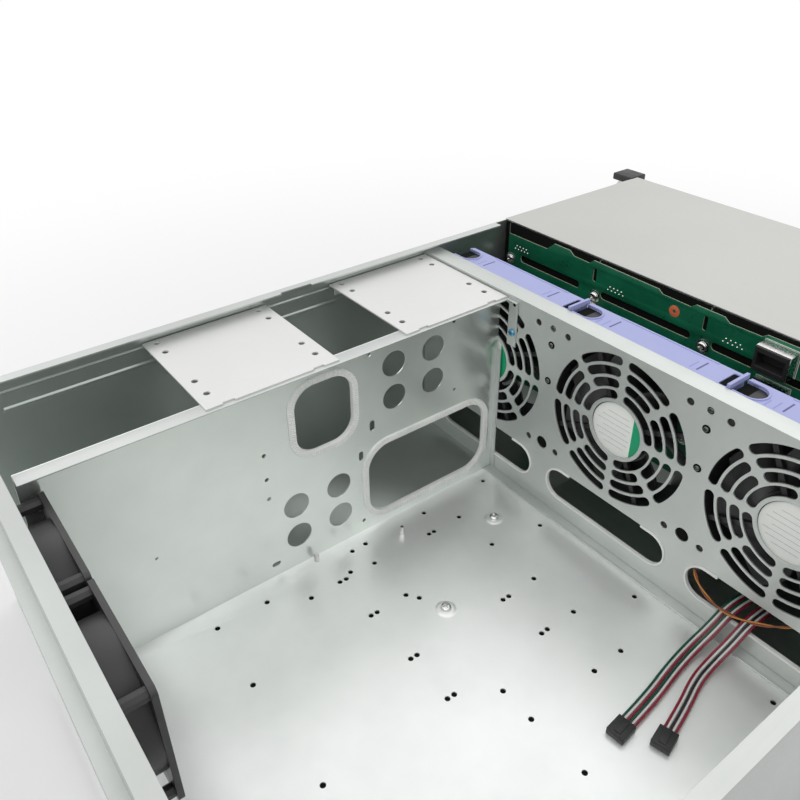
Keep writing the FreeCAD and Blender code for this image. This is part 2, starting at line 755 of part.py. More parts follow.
def cord_tube(route, r, name):
    """Straight runs joined by tangent arcs, swept by a section of ten flats."""
    pts = [V(*p) for p in route]
    edges, start, radii, length = [], pts[0], [], 0.0
    for a, b, c in zip(pts, pts[1:], pts[2:]):
        u, w = (b - a).normalize(), (c - b).normalize()
        turn = math.acos(max(-1.0, min(1.0, u.dot(w))))
        cutback = 0.45 * min((b - a).Length, (c - b).Length)
        radii.append(cutback / math.tan(turn / 2))
        p, q = b - u * cutback, b + w * cutback
        mid_dir = (w - u).normalize()
        centre = b + mid_dir * (radii[-1] / math.cos(turn / 2))
        m = centre - mid_dir * radii[-1]
        edges.append(Part.LineSegment(start, p).toShape())
        edges.append(Part.Arc(p, m, q).toShape())
        length += (p - start).Length + radii[-1] * turn
        start = q
    edges.append(Part.LineSegment(start, pts[-1]).toShape())
    length += (pts[-1] - start).Length
    first = (pts[1] - pts[0]).normalize()
    side = first.cross(V(0, 0, 1)).normalize()
    up = side.cross(first)
    ring = [2 * math.pi * k / tube_flats for k in range(tube_flats)]
    corners = [pts[0] + side * (r * math.cos(a)) + up * (r * math.sin(a)) for a in ring]
    section = Part.makePolygon(corners + corners[:1])
    tube = Part.Wire(edges).makePipeShell([section], True, False)
    print(name, "radii", [round(v, 1) for v in radii], "volume ratio",
          round(tube.Volume / (Part.Face(section).Area * length), 4))
    return tube


def plug(route, w, h):
    end, before = V(*route[-1]), V(*route[-2])
    d = (end - before).normalize()
    block = Part.makeBox(plug_l, w, h, V(0, -w / 2, -h / 2))
    block.rotate(V(0, 0, 0), V(0, 0, 1), math.degrees(math.atan2(d.y, d.x)))
    block.translate(end)
    return block


def main():
    os.makedirs("parts", exist_ok=True)
    export("chassis", chassis())
    export("rear_panel", rear_panel())
    export("slot_covers", slot_covers())
    export("divider_wall", divider())
    export("divider_grommets", Part.makeCompound([edge_strip(opening_upper), edge_strip(opening_lower)]))
    export("fan_wall", fan_wall())
    export("cable_slot_trims", cable_slot_trims())
    export("fan_shelf", fan_shelf())
    export("bridge_plate_front", bridge_plate(y_wall + bridge_front_from_wall))
    export("bridge_plate_rear", bridge_plate(y_wall + bridge_rear_from_wall))
    export("cage_cover", cage_cover())
    export("drive_cage", drive_cage())
    export("backplane", backplane())
    export("backplane_connectors", backplane_connectors())
    export("case_screws", case_screws())
    for s, side in ((-1, "left"), (1, "right")):
        export("rack_ear_" + side, rack_ear(s))
        export("handle_" + side, handle(s))
    export("power_button", power_button())
    for i in range(fan_count):
        x, n = fan_x(i), str(i + 1)
        export("fan_tray_" + n, fan_tray(i))
        export("fan_frame_" + n, fan_frame(x, fan_z, y_fan, fan_size, fan_depth, fan_bore_r, frame_hub_r, 1))
        export("fan_rotor_" + n, rotor(x, fan_z, y_fan - fan_depth + 2.5, y_fan - motor_cup - spin_gap,
                                       rotor_hub_r, blade_tip_r, blade_count, 50, 34))
    for i in range(2):
        x, n = rear_fan_x(i), str(i + 1)
        y_back = y_rear - sheet
        export("rear_fan_frame_" + n, open_frame(x, rear_fan_z, y_back, rear_fan, rear_fan_d, rear_bore_r, rear_hub_r))
        export("rear_fan_rotor_" + n, rotor(x, rear_fan_z, y_back - rear_fan_d + 1.5, y_back - rear_cup - spin_gap,
                                            rear_hub_r + 1.0, rear_tip_r, blade_count, 50, 34))
    for c in range(bay_cols):
        for r in range(bay_rows):
            export("drive_tray_%d_%d" % (c + 1, r + 1), drive_tray(c, r))
    export("panel_wires", Part.makeCompound([cord_tube(wire_route, wire_r, "panel wires, first group"),
                                             cord_tube(wire_route_2, wire_r, "panel wires, second group")]))
    export("fan_lead", cord_tube(lead_route, lead_r, "fan_lead"))
    export("wire_plug", Part.makeCompound([plug(wire_route, plug_w, plug_t), plug(wire_route_2, plug_w, plug_t)]))


main()
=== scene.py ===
import bpy
import bmesh
import math
from mathutils import Matrix, Vector


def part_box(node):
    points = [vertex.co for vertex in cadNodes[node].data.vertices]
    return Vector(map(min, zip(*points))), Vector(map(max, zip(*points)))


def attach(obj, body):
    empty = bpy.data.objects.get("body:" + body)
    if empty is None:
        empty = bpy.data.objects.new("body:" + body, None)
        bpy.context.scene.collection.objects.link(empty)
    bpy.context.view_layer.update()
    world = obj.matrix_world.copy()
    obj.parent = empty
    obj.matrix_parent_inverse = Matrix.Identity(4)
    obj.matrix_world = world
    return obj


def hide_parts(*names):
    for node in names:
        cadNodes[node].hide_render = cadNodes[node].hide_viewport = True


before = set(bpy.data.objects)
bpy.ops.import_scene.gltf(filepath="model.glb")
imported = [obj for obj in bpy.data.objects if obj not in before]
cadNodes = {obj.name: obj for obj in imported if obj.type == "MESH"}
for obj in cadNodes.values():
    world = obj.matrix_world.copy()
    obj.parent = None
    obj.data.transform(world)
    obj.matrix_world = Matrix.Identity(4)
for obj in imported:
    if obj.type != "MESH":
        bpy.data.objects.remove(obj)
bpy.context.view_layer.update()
mm = 0.001
fullTurn = 2 * math.pi
print("case: frame loaded,", len(cadNodes), "parts")

scene = bpy.context.scene
scene.view_settings.view_transform = "Standard"

# camera, looking down over the rear left corner
cameraSetup = {
    "place": (-0.2728, 0.3411, 0.4393),
    "ahead": (0.6793, -0.5119, -0.5258),
    "right": (-0.6052, -0.7961, -0.0067),
    "lens": 36.0,
    "shiftX": -0.0064,
    "shiftY": -0.0391,
    "nearest": 0.02,
}


def placeCamera(values):
    data = bpy.data.cameras.new("caseCamera")
    data.lens = values["lens"]
    data.shift_x = values["shiftX"]
    data.shift_y = values["shiftY"]
    data.clip_start = values["nearest"]
    camera = bpy.data.objects.new("caseCamera", data)
    scene.collection.objects.link(camera)
    back = -Vector(values["ahead"]).normalized()
    right = Vector(values["right"]).normalized()
    turn = Matrix((right, back.cross(right), back)).transposed().to_4x4()
    camera.matrix_world = Matrix.Translation(values["place"]) @ turn
    scene.camera = camera


placeCamera(cameraSetup)


# nodes for materials and for the trees that grow parts
def setInputs(tree, node, values):
    for key, value in values.items():
        if hasattr(value, "is_output"):  # another node's output
            tree.links.new(value, node.inputs[key])
        else:
            node.inputs[key].default_value = value


def addNode(tree, kind, values=None, **settings):
    node = tree.nodes.new(kind)
    for key, value in settings.items():
        setattr(node, key, value)
    setInputs(tree, node, values or {})
    return node


def newMaterial(name):
    material = bpy.data.materials.new(name)
    material.use_nodes = True
    return material, material.node_tree, material.node_tree.nodes["Principled BSDF"]


def grain(tree, scale, stretch=(1, 1, 1), detail=4.0):
    place = addNode(tree, "ShaderNodeTexCoord")
    mapping = addNode(tree, "ShaderNodeMapping", {"Vector": place.outputs["Object"], "Scale": stretch})
    noise = addNode(tree, "ShaderNodeTexNoise", {
        "Vector": mapping.outputs["Vector"], "Scale": scale, "Detail": detail, "Roughness": 0.55})
    return noise.outputs["Fac"]


def twoTone(tree, value, color, darker, lighter, ends=(0.35, 0.65)):
    node = addNode(tree, "ShaderNodeValToRGB", {"Fac": value})
    for element, at, change in zip(node.color_ramp.elements, ends, (-darker, lighter)):
        element.position = at
        element.color = (*(min(1, c * (1 + change)) for c in color), 1)
    return node.outputs["Color"]


def spread(tree, value, low, high):
    node = addNode(tree, "ShaderNodeMapRange", {
        "Value": value, "From Min": 0.3, "From Max": 0.7, "To Min": low, "To Max": high})
    return node.outputs["Result"]


def bumps(tree, value, strength, distance=0.0002):
    node = addNode(tree, "ShaderNodeBump", {"Height": value, "Strength": strength, "Distance": distance})
    return node.outputs["Normal"]


def zincSteel(name, color, rough, metal=0.85, patch=0.06, stretch=(1, 1, 1)):
    material, tree, shader = newMaterial(name)
    rolled = grain(tree, 260.0, stretch, 3.0)
    setInputs(tree, shader, {
        "Base Color": twoTone(tree, grain(tree, 9.0), color, patch, patch),  # soft patches of zinc
        "Metallic": metal,
        "Roughness": spread(tree, rolled, rough - 0.02, rough + 0.02),
        "Normal": bumps(tree, grain(tree, 700.0, stretch, 2.0), 0.02)})
    return material


def mouldedPlastic(name, color, rough, pebble=0.12, tone=0.06, size=900.0, sheen=0.5):
    material, tree, shader = newMaterial(name)
    setInputs(tree, shader, {
        "Base Color": twoTone(tree, grain(tree, 30.0), color, tone, tone),
        "Specular IOR Level": sheen,
        "Roughness": spread(tree, grain(tree, 120.0), rough - 0.04, rough + 0.06),
        "Normal": bumps(tree, grain(tree, size, (1, 1, 1), 2.0), pebble)})
    return material


def platedMetal(name, color, rough):
    material, tree, shader = newMaterial(name)
    setInputs(tree, shader, {
        "Base Color": twoTone(tree, grain(tree, 300.0), color, 0.2, 0.0, (0.3, 0.7)),
        "Metallic": 1.0,
        "Roughness": spread(tree, grain(tree, 600.0), rough - 0.05, rough + 0.08)})
    return material


# the record's slot, what the finish is made of, and the looks that belong to the slot
finishSets = [
    ("steel_body", zincSteel, {  # colour, roughness, metal, patch, stretch of the grain
        "bodySteel": ((0.90, 0.92, 0.905), 0.38, 0.6),
        # painted shade: the outer, fold and channel tones are darker copies of the body steel
        "outerSteel": ((0.50, 0.52, 0.505), 0.36, 0.7),
        "foldSteel": ((0.58, 0.60, 0.585), 0.38, 0.7),
        "slotCoverSteel": ((0.60, 0.61, 0.59), 0.30),
        "channelSteel": ((0.46, 0.50, 0.475), 0.34),
        "wallSteel": ((0.63, 0.655, 0.635), 0.42, 0.75),
        "dividerSteel": ((0.80, 0.84, 0.81), 0.30, 0.85, 0.06, (1, 1, 0.08))}),
    ("steel_plate", zincSteel, {"plateSteel": ((0.74, 0.745, 0.735), 0.5, 0.6, 0.02)}),
    ("steel_cover", zincSteel, {"coverSteel": ((0.525, 0.525, 0.505), 0.5, 0.6, 0.015)}),
    ("steel_screw", platedMetal, {  # colour, roughness
        "screwNickel": ((0.80, 0.80, 0.78), 0.22),
        "blueLockScrew": ((0.16, 0.42, 0.62), 0.35),
        "darkScrew": ((0.16, 0.17, 0.17), 0.3)}),
    ("black_plastic", mouldedPlastic, {  # colour, roughness, pebble, tone, pebble scale, sheen
        "blackPlastic": ((0.018, 0.018, 0.019), 0.5),
        "fanBlack": ((0.012, 0.012, 0.012), 0.42, 0.05),
        "fanGrey": ((0.05, 0.05, 0.05), 0.4, 0.05),
        "lightPipe": ((0.55, 0.62, 0.60), 0.12, 0.0),
        # painted shade: near-black for holes, gaps and recesses that lie in shade
        "holeShade": ((0.006, 0.007, 0.006), 0.8, 0.0, 0.06, 900.0, 0.08),
        "labelPaper": ((0.90, 0.91, 0.88), 0.5, 0.02, 0.01),
        "labelGreen": ((0.0, 0.36, 0.16), 0.5, 0.02, 0.02),
        "labelInk": ((0.36, 0.37, 0.37), 0.7, 0.0)}),
    ("rotor_black", mouldedPlastic, {"bladeBlack": ((0.016, 0.016, 0.017), 0.32, 0.03)}),
    ("tray_lavender", mouldedPlastic, {
        "lavenderPlastic": ((0.38, 0.41, 0.71), 0.42, 0.05, 0.02, 500.0),
        # painted shade: deep and soft tones for the tray's grooves
        "trayShade": ((0.11, 0.10, 0.27), 0.5, 0.0),
        "trayLine": ((0.29, 0.30, 0.62), 0.5, 0.0)}),
    ("board_green", mouldedPlastic, {
        "boardGreen": ((0.006, 0.125, 0.062), 0.3, 0.03, 0.2, 300.0),
        "boardEdge": ((0.38, 0.42, 0.31), 0.6),
        "printWhite": ((0.78, 0.80, 0.76), 0.6, 0.0),
        "stickerOrange": ((0.74, 0.17, 0.075), 0.5, 0.02)}),
    ("strip_grey", mouldedPlastic, {
        "edgeStrip": ((0.84, 0.85, 0.83), 0.5, 0.05),
        "nylon": ((0.60, 0.62, 0.53), 0.4, 0.02)}),
    ("wire_jacket", mouldedPlastic, {
        "wireGreen": ((0.0, 0.07, 0.04), 0.35, 0.02),
        "wireWhite": ((0.72, 0.70, 0.70), 0.35, 0.02),
        "wireRed": ((0.25, 0.01, 0.03), 0.35, 0.02),
        "wireBlack": ((0.012, 0.012, 0.012), 0.35, 0.02)}),
    ("lead_jacket", mouldedPlastic, {
        "wireOrange": ((0.50, 0.20, 0.04), 0.35, 0.02),
        "wireBrown": ((0.22, 0.06, 0.02), 0.35, 0.02)}),
]
finishes, slotOf = {}, {}
for slot, make, looks in finishSets:
    for look, given in looks.items():
        finishes[look] = make(look, *given)
        slotOf[look] = slot


# outlines in a drawing plane, in millimetres
def toWorld(plane, at):
    rows = {"xy": ((1, 0, 0, 0), (0, 1, 0, 0), (0, 0, 1, at)),
            "xz": ((1, 0, 0, 0), (0, 0, -1, at), (0, 1, 0, 0)),
            "yz": ((0, 0, 1, at), (1, 0, 0, 0), (0, 1, 0, 0))}[plane]
    return Matrix((*rows, (0, 0, 0, 1)))


def arc(u, v, r, start, end, count):
    angles = [start + (end - start) * k / count for k in range(count + 1)]
    return [(u + r * math.cos(a), v + r * math.sin(a)) for a in angles]


def circleLoop(u, v, r, count=24):
    return arc(u, v, r, 0, fullTurn, count)[:-1]


def roundLoop(u0, u1, v0, v1, r, count=8):
    corners = ((u1 - r, v0 + r, -0.25), (u1 - r, v1 - r, 0), (u0 + r, v1 - r, 0.25), (u0 + r, v0 + r, 0.5))
    return [p for u, v, start in corners
            for p in arc(u, v, r, start * fullTurn, (start + 0.25) * fullTurn, count)]


def slotLoop(u, v, w, h, count=8):
    return roundLoop(u - w / 2, u + w / 2, v - h / 2, v + h / 2, min(w, h) / 2 - 0.01, count)


def arcSlotLoop(radius, width, start, end, count=10):
    half, loop = width / 2, []
    for a, b, r in ((start, end, radius + half), (end, start, radius - half)):
        turn = b if r > radius else b + math.pi
        loop += arc(0, 0, r, a, b, count)
        loop += arc(radius * math.cos(b), radius * math.sin(b), half, turn, turn + math.pi, 8)[1:-1]
    return loop


def notchLoop(cx, cy, r, end, count=14):
    return [(end, cy - r), *arc(cx, cy, r, 0.75 * fullTurn, 0.25 * fullTurn, count), (end, cy + r)]


def outlineCurve(name, loops):
    curve = bpy.data.curves.new(name, "CURVE")
    curve.dimensions = "2D"
    for loop in loops:
        spline = curve.splines.new("POLY")
        spline.points.add(len(loop) - 1)
        for point, (u, v) in zip(spline.points, loop):
            point.co = (u * mm, v * mm, 0, 1)
        spline.use_cyclic_u = True
    return curve


# objects and meshes
def addObject(name, data, look=None):
    thing = bpy.data.objects.new(name, data)
    scene.collection.objects.link(thing)
    if look:
        data.materials.clear()
        data.materials.append(finishes[look])
    return thing


def template(name, data):  # shape that only the trees use
    thing = bpy.data.objects.new(name, data)
    thing.hide_render = True
    return thing


def plainMesh(thing):
    bpy.context.view_layer.update()
    return bpy.data.meshes.new_from_object(thing.evaluated_get(bpy.context.evaluated_depsgraph_get()))


def curveMesh(curve):
    temp = addObject(curve.name, curve)
    mesh = plainMesh(temp)
    bpy.data.objects.remove(temp)
    bpy.data.curves.remove(curve)
    return mesh


def bake(thing):  # modifiers into the mesh
    mesh = plainMesh(thing)
    if thing.type != "MESH":
        name = thing.name
        bpy.data.objects.remove(thing)
        return addObject(name, mesh)
    old = thing.data
    thing.modifiers.clear()
    thing.data = mesh
    mesh.name = thing.name
    bpy.data.meshes.remove(old)
    return thing


def modify(thing, kind, **settings):
    modifier = thing.modifiers.new(kind.lower(), kind)
    for key, value in settings.items():
        setattr(modifier, key, value)
    return modifier


def bevel(thing, width, steps, angle):
    modify(thing, "BEVEL", width=width * mm, segments=steps, limit_method="ANGLE",
           angle_limit=math.radians(angle))
    return bake(thing)


def flatten(thing):  # normals led by the large faces, so flat sheets shade flat
    modify(thing, "WEIGHTED_NORMAL", mode="FACE_AREA", weight=80, keep_sharp=True)
    return bake(thing)


def cutOut(thing, tool, **settings):
    cutter = addObject("cutter", tool)
    modify(thing, "BOOLEAN", object=cutter, operation="DIFFERENCE", solver="EXACT", **settings)
    bake(thing)
    bpy.data.objects.remove(cutter)


def meshFrom(name, work):
    mesh = bpy.data.meshes.new(name)
    work.to_mesh(mesh)
    work.free()
    return mesh


def smooth(mesh, shade=35, weld=False):
    work = bmesh.new()
    work.from_mesh(mesh)
    if weld:  # doubles merged and faces turned outwards
        bmesh.ops.remove_doubles(work, verts=work.verts, dist=1e-6)
        bmesh.ops.recalc_face_normals(work, faces=work.faces)
        work.normal_update()
    for face in work.faces:
        face.smooth = True
    for edge in work.edges:
        edge.smooth = len(edge.link_faces) == 2 and edge.calc_face_angle(0) < math.radians(shade)
    work.to_mesh(mesh)
    work.free()
    return mesh


def shift(mesh, place, turn=Matrix()):
    mesh.transform(Matrix.Translation(Vector(place) * mm) @ turn)
    return mesh


def joinMeshes(name, meshes):
    work = bmesh.new()
    for mesh in meshes:
        work.from_mesh(mesh)
    joined = meshFrom(name, work)
    for mesh in meshes:
        bpy.data.meshes.remove(mesh)
    return joined


def sheetMesh(name, outer, holes, low, high, plane, edge=0.12):
    curve = outlineCurve(name, [outer, *holes])
    curve.fill_mode = "BOTH"
    curve.bevel_depth = edge * mm
    curve.bevel_resolution = 1
    curve.extrude = (high - low) / 2 * mm - edge * mm
    curve.offset = -edge * mm
    mesh = curveMesh(curve)
    mesh.transform(toWorld(plane, (low + high) / 2 * mm))
    return smooth(mesh, weld=True)


def boxMesh(name, boxes, edge=0.3, steps=2):
    work = bmesh.new()
    for x0, x1, y0, y1, z0, z1 in boxes:
        size = Vector((x1 - x0, y1 - y0, z1 - z0)) * mm
        centre = Vector((x0 + x1, y0 + y1, z0 + z1)) * mm / 2
        made = bmesh.ops.create_cube(work, size=1.0)["verts"]
        for vert in made:
            vert.co = Vector(a * b for a, b in zip(vert.co, size)) + centre
        if edge:
            edges = list({e for v in made for e in v.link_edges})
            width = min(edge * mm, min(size) * 0.45)
            bmesh.ops.bevel(work, geom=edges, offset=width, segments=steps, affect="EDGES", profile=0.5)
    return smooth(meshFrom(name, work), 40)


def turnedMesh(name, profile, count=20):
    # profile of (radius, height) turned about Z, poles closed
    work = bmesh.new()
    rings = []
    for r, z in profile:
        points = circleLoop(0, 0, r, count) if r > 1e-6 else [(0, 0)]
        rings.append([work.verts.new(Vector((u, v, z)) * mm) for u, v in points])
    for low, high in zip(rings, rings[1:]):
        for k in range(count):
            n = (k + 1) % count
            quad = [low[k % len(low)], low[n % len(low)], high[n % len(high)], high[k % len(high)]]
            quad = list(dict.fromkeys(quad))
            if len(quad) > 2:
                work.faces.new(quad)
    bmesh.ops.recalc_face_normals(work, faces=work.faces)
    return meshFrom(name, work)


def discMesh(name, r, h, count):
    return turnedMesh(name, [(0, 0), (r, 0), (r, h), (0, h)], count)


def cadCopy(node, name, look, edge=0.3, tool=None, steps=2, shade=35):
    # merged copy of a CAD part, with holes cut and its edges broken
    work = bmesh.new()
    work.from_mesh(cadNodes[node].data)
    bmesh.ops.remove_doubles(work, verts=work.verts, dist=2e-6)
    bmesh.ops.dissolve_limit(work, angle_limit=math.radians(1.0), verts=work.verts, edges=work.edges)
    thing = addObject(name, meshFrom(name, work), look)
    if tool:
        cutOut(thing, tool)
    bevel(thing, edge, steps, shade)
    smooth(thing.data, shade + 5)
    return flatten(thing)


def stand(thing, *nodes, body="case", slot=None):
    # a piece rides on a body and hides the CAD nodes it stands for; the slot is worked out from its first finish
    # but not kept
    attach(thing, body)
    if nodes:
        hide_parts(*nodes)
    look = next(material.name for material in thing.data.materials if material)
    slot or slotOf[look]
    return thing


def standMesh(name, mesh, look, *nodes, body="case", flat=False):
    thing = addObject(name, mesh, look)
    return stand(flatten(thing) if flat else thing, *nodes, body=body)


def standBoxes(name, look, edge, steps, boxes, body="case"):
    return standMesh(name, boxMesh(name, boxes, edge, steps), look, body=body)


print("case: finishes and helpers ready")


# Geometry Nodes: trees for what repeats
class TreeMaker:
    def __init__(self, name, inputs):
        self.tree = bpy.data.node_groups.new(name, "GeometryNodeTree")
        face = self.tree.interface
        for label, kind, value in [("Geometry", "Geometry", None), *inputs, ("Finish", "Material", None)]:
            socket = face.new_socket(label, in_out="INPUT", socket_type="NodeSocket" + kind)
            if value is not None:
                socket.default_value = value
        face.new_socket("Geometry", in_out="OUTPUT", socket_type="NodeSocketGeometry")
        self.given = self.tree.nodes.new("NodeGroupInput").outputs

    def make(self, kind, values=None, output=0, **settings):
        return addNode(self.tree, kind, values, **settings).outputs[output]

    def math(self, operation, a, b):
        return self.make("ShaderNodeMath", {0: a, 1: b}, operation=operation)

    def vector(self, values):
        return self.make("ShaderNodeCombineXYZ", values)

    def fromObject(self, label):
        return self.make("GeometryNodeObjectInfo", {"Object": self.given[label]}, "Geometry")

    def copies(self, points, part, values=None):
        return self.make("GeometryNodeInstanceOnPoints", {
            "Points": points, "Instance": part, **(values or {})})

    def ring(self, count, axis):  # the given shape turned about the origin
        share = self.math("DIVIDE", self.make("GeometryNodeInputIndex"), count)
        spin = self.vector({axis: self.math("MULTIPLY", share, fullTurn)})
        spots = self.make("GeometryNodePoints", {"Count": count})
        return self.copies(spots, self.given["Geometry"], {"Rotation": spin})

    def real(self, geometry):
        return self.make("GeometryNodeRealizeInstances", {"Geometry": geometry})

    def join(self, parts):
        both = addNode(self.tree, "GeometryNodeJoinGeometry")
        for part in parts:
            self.tree.links.new(part, both.inputs[0])
        return both.outputs[0]

    def closeSheet(self, outlines):  # outlines filled and given a thickness
        fill = self.make("GeometryNodeFillCurve", {0: self.join(outlines)})
        pull = self.make("GeometryNodeExtrudeMesh", {
            "Mesh": fill, "Offset Scale": self.given["Thickness"], "Individual": False})
        back = self.make("GeometryNodeFlipFaces", {0: fill})
        return self.close(self.make("GeometryNodeMergeByDistance", {
            "Geometry": self.join([pull, back]), "Distance": 0.000002}))

    def close(self, geometry):
        coat = self.make("GeometryNodeSetMaterial", {
            "Geometry": self.real(geometry), "Material": self.given["Finish"]})
        self.tree.links.new(coat, self.tree.nodes.new("NodeGroupOutput").inputs["Geometry"])
        return self.tree


def punchedTree():
    # one sector turned about the origin, copied along X, with a fixed outline round all
    maker = TreeMaker("punchedSheet", [
        ("Fixed outline", "Object", None), ("Turns", "Int", 4), ("Copies", "Int", 3),
        ("First", "Float", -0.131), ("Pitch", "Float", 0.131), ("Height", "Float", 0.1),
        ("Thickness", "Float", 0.0012)])
    given = maker.given
    row = maker.make("GeometryNodeMeshLine", {
        "Count": given["Copies"], "Offset": maker.vector({"X": given["Pitch"]}),
        "Start Location": maker.vector({"X": given["First"], "Y": given["Height"]})})
    grilles = maker.real(maker.copies(row, maker.ring(given["Turns"], "Z")))
    return maker.closeSheet([grilles, maker.fromObject("Fixed outline")])


def meshPanelTree():
    # staggered holes in two crossed grids
    maker = TreeMaker("meshPanel", [
        ("Fixed outline", "Object", None), ("Columns", "Int", 14), ("Rows", "Int", 3),
        ("Pitch", "Float", 0.0045), ("Centre", "Vector", (0, 0, 0)), ("Thickness", "Float", 0.001)])
    given = maker.given
    steps = {"X": given["Pitch"], "Y": maker.math("MULTIPLY", given["Pitch"], math.sqrt(3))}
    outlines = []
    for fewer in (0, 1):
        size = {}
        for axis, label in (("X", "Columns"), ("Y", "Rows")):
            count = maker.math("SUBTRACT", given[label], fewer)
            size["Vertices " + axis] = count
            size["Size " + axis] = maker.math("MULTIPLY", maker.math("SUBTRACT", count, 1.0), steps[axis])
        holes = maker.copies(maker.make("GeometryNodeMeshGrid", size), given["Geometry"])
        placed = maker.make("GeometryNodeTransform", {"Geometry": holes, "Translation": given["Centre"]})
        outlines.append(maker.real(placed))
    return maker.closeSheet([*outlines, maker.fromObject("Fixed outline")])


def scatterTree():
    # one small part on every point, turned as asked
    maker = TreeMaker("partOnPoints", [
        ("Part", "Object", None), ("Turn", "Vector", (0, 0, 0)), ("Turn spread", "Float", 0.0),
        ("Axis", "Vector", (0, 0, 1)), ("Size", "Float", 1.0), ("Seed", "Int", 3)])
    given = maker.given
    chance = maker.make("FunctionNodeRandomValue", {"Min": 0.0, "Max": 1.0, "Seed": given["Seed"]}, 1,
                        data_type="FLOAT")
    amount = maker.math("MULTIPLY", chance, given["Turn spread"])
    extra = maker.make("ShaderNodeVectorMath", {0: given["Axis"], "Scale": amount}, operation="SCALE")
    whole = maker.make("ShaderNodeVectorMath", {0: given["Turn"], 1: extra}, operation="ADD")
    return maker.close(maker.copies(given["Geometry"], maker.fromObject("Part"), {
        "Rotation": whole, "Scale": given["Size"]}))


def ribTree():
    # one rib after another along a closed path
    maker = TreeMaker("ribsOnPath", [("Rib", "Object", None), ("Spacing", "Float", 0.003)])
    grooveShades = addNode(maker.tree, "GeometryNodeCurveToPoints", {
        "Curve": maker.given["Geometry"], "Length": maker.given["Spacing"]}, mode="LENGTH").outputs
    along = maker.make("FunctionNodeAlignRotationToVector", {"Vector": grooveShades["Tangent"]}, "Rotation",
                       axis="X", pivot_axis="Z")
    return maker.close(maker.copies(grooveShades["Points"], maker.fromObject("Rib"), {"Rotation": along}))


def ringTree():
    maker = TreeMaker("partsInRing", [("Copies", "Int", 7)])
    return maker.close(maker.ring(maker.given["Copies"], "Y"))


trees = {"punched": punchedTree(), "scatter": scatterTree(), "rib": ribTree(),
         "panel": meshPanelTree(), "ring": ringTree()}


def growth(thing, name, look, values):
    # runs a tree on a thing once and keeps the plain mesh
    tree = trees[name]
    modifier = modify(thing, "NODES", node_group=tree)
    sockets = {s.name: s.identifier for s in tree.interface.items_tree if s.in_out == "INPUT"}
    for label, value in {**values, "Finish": finishes[look]}.items():
        modifier[sockets[label]] = value
    return bake(thing)


def scatter(name, points, mesh, look, *nodes, turn=(0, 0, 0), wander=0.0, axis=(0, 0, 1), size=1.0,
            slot=None):
    spots = bpy.data.meshes.new(name)
    spots.from_pydata([Vector(p) * mm for p in points], [], [])
    made = growth(addObject(name, spots), "scatter", look, {
        "Part": template(name + "Part", mesh), "Turn": turn, "Turn spread": wander, "Axis": axis,
        "Size": size, "Seed": 3})
    smooth(made.data, 40)
    return stand(made, *nodes, slot=slot)


def crossScrew(name, r, h, count=18):
    # domed head with a cross recess, standing on Z
    head = [(0, 0), (r, 0), (r, h * 0.45), (r * 0.9, h * 0.75), (r * 0.62, h * 0.95), (r * 0.5, h), (0, h)]
    thing = addObject(name, turnedMesh(name, head, count))
    arm, half, low, high = r * 0.58, r * 0.16, h * 0.45, h * 1.5
    bars = [(-arm, arm, -half, half, low, high), (-half, half, -arm, arm, low, high)]
    cutOut(thing, boxMesh("recess", bars, 0), use_self=True)
    mesh = smooth(thing.data, 40)
    bpy.data.objects.remove(thing)
    return mesh


screwShapes = {"small": crossScrew("smallScrew", 3.0, 1.9), "board": crossScrew("boardScrew", 3.9, 2.4)}
towardRear = (-math.pi / 2, 0, 0)  # turn of a part that stands on a wall
print("case: trees and small shapes ready")


# reference lines of the case, read from the CAD parts, in millimetres
def nodeBox(node):
    return [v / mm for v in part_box(node)]


wallLow, wallHigh = nodeBox("fan_wall")
wallY = nodeBox("divider_wall")[0].y  # rear face of the fan wall
dividerX = nodeBox("divider_grommets")[0].x + 1.06
boardY = nodeBox("backplane")[1].y
bodyLow, bodyHigh = nodeBox("chassis")
sheetT = 1.2
fanPitch = 131.0
fanPlaces = [fanPitch, 0.0, -fanPitch]
bayPitch = 28.6
bayRows = 6


def behindWall(points, z):
    return [(x, wallY + y, z) for x, y in points]


# body: floor with its punched holes, walls, rims, pressed lines
bodyWork = {
    "holes": [(108.7, 19.4), (108, 83.8), (87.2, 64.5), (86.5, 90.8), (86.7, 95.6), (40.7, 20.2), (48.3, 64.5),
              (108, 141.1), (107.6, 153.6), (87.3, 147.3), (90.6, 166.7), (87, 172.9), (87.2, 178.2), (87, 202.7),
              (102.7, 229.7), (48.1, 147.6), (40.2, 141.7), (47.9, 173), (48, 178.1), (102.9, 267.9), (3.6, 64.1),
              (2.5, 90.2), (2.6, 95.7), (-35.3, 64.3), (-52.2, 19.7), (-34.8, 89.7), (-35, 95.3), (-52, 147),
              (-35.2, 173), (-35, 178.3), (2.6, 173.1), (2.7, 178.2), (-77, 64.2), (-77, 90), (-77, 147),
              (-120, 20), (-120, 147), (-160, 20), (-160, 147), (-120, 270), (-35, 270), (48, 270), (-160, 270)],
    "holeRadius": 1.9,
    "pegs": [(99.6, 112.3), (115.6, 180.2)],
    "peg": [(0, 0), (1.9, 0), (1.9, 6), (1.2, 7.5), (0, 7.5)],  # radius and height
    "bosses": [(68.4, 44.0), (20.5, 133.5)],
    "edge": 0.25,
    "foldShadeFrom": 174.0,  # height above which the rims take the folds' darker tone, painted shade
}


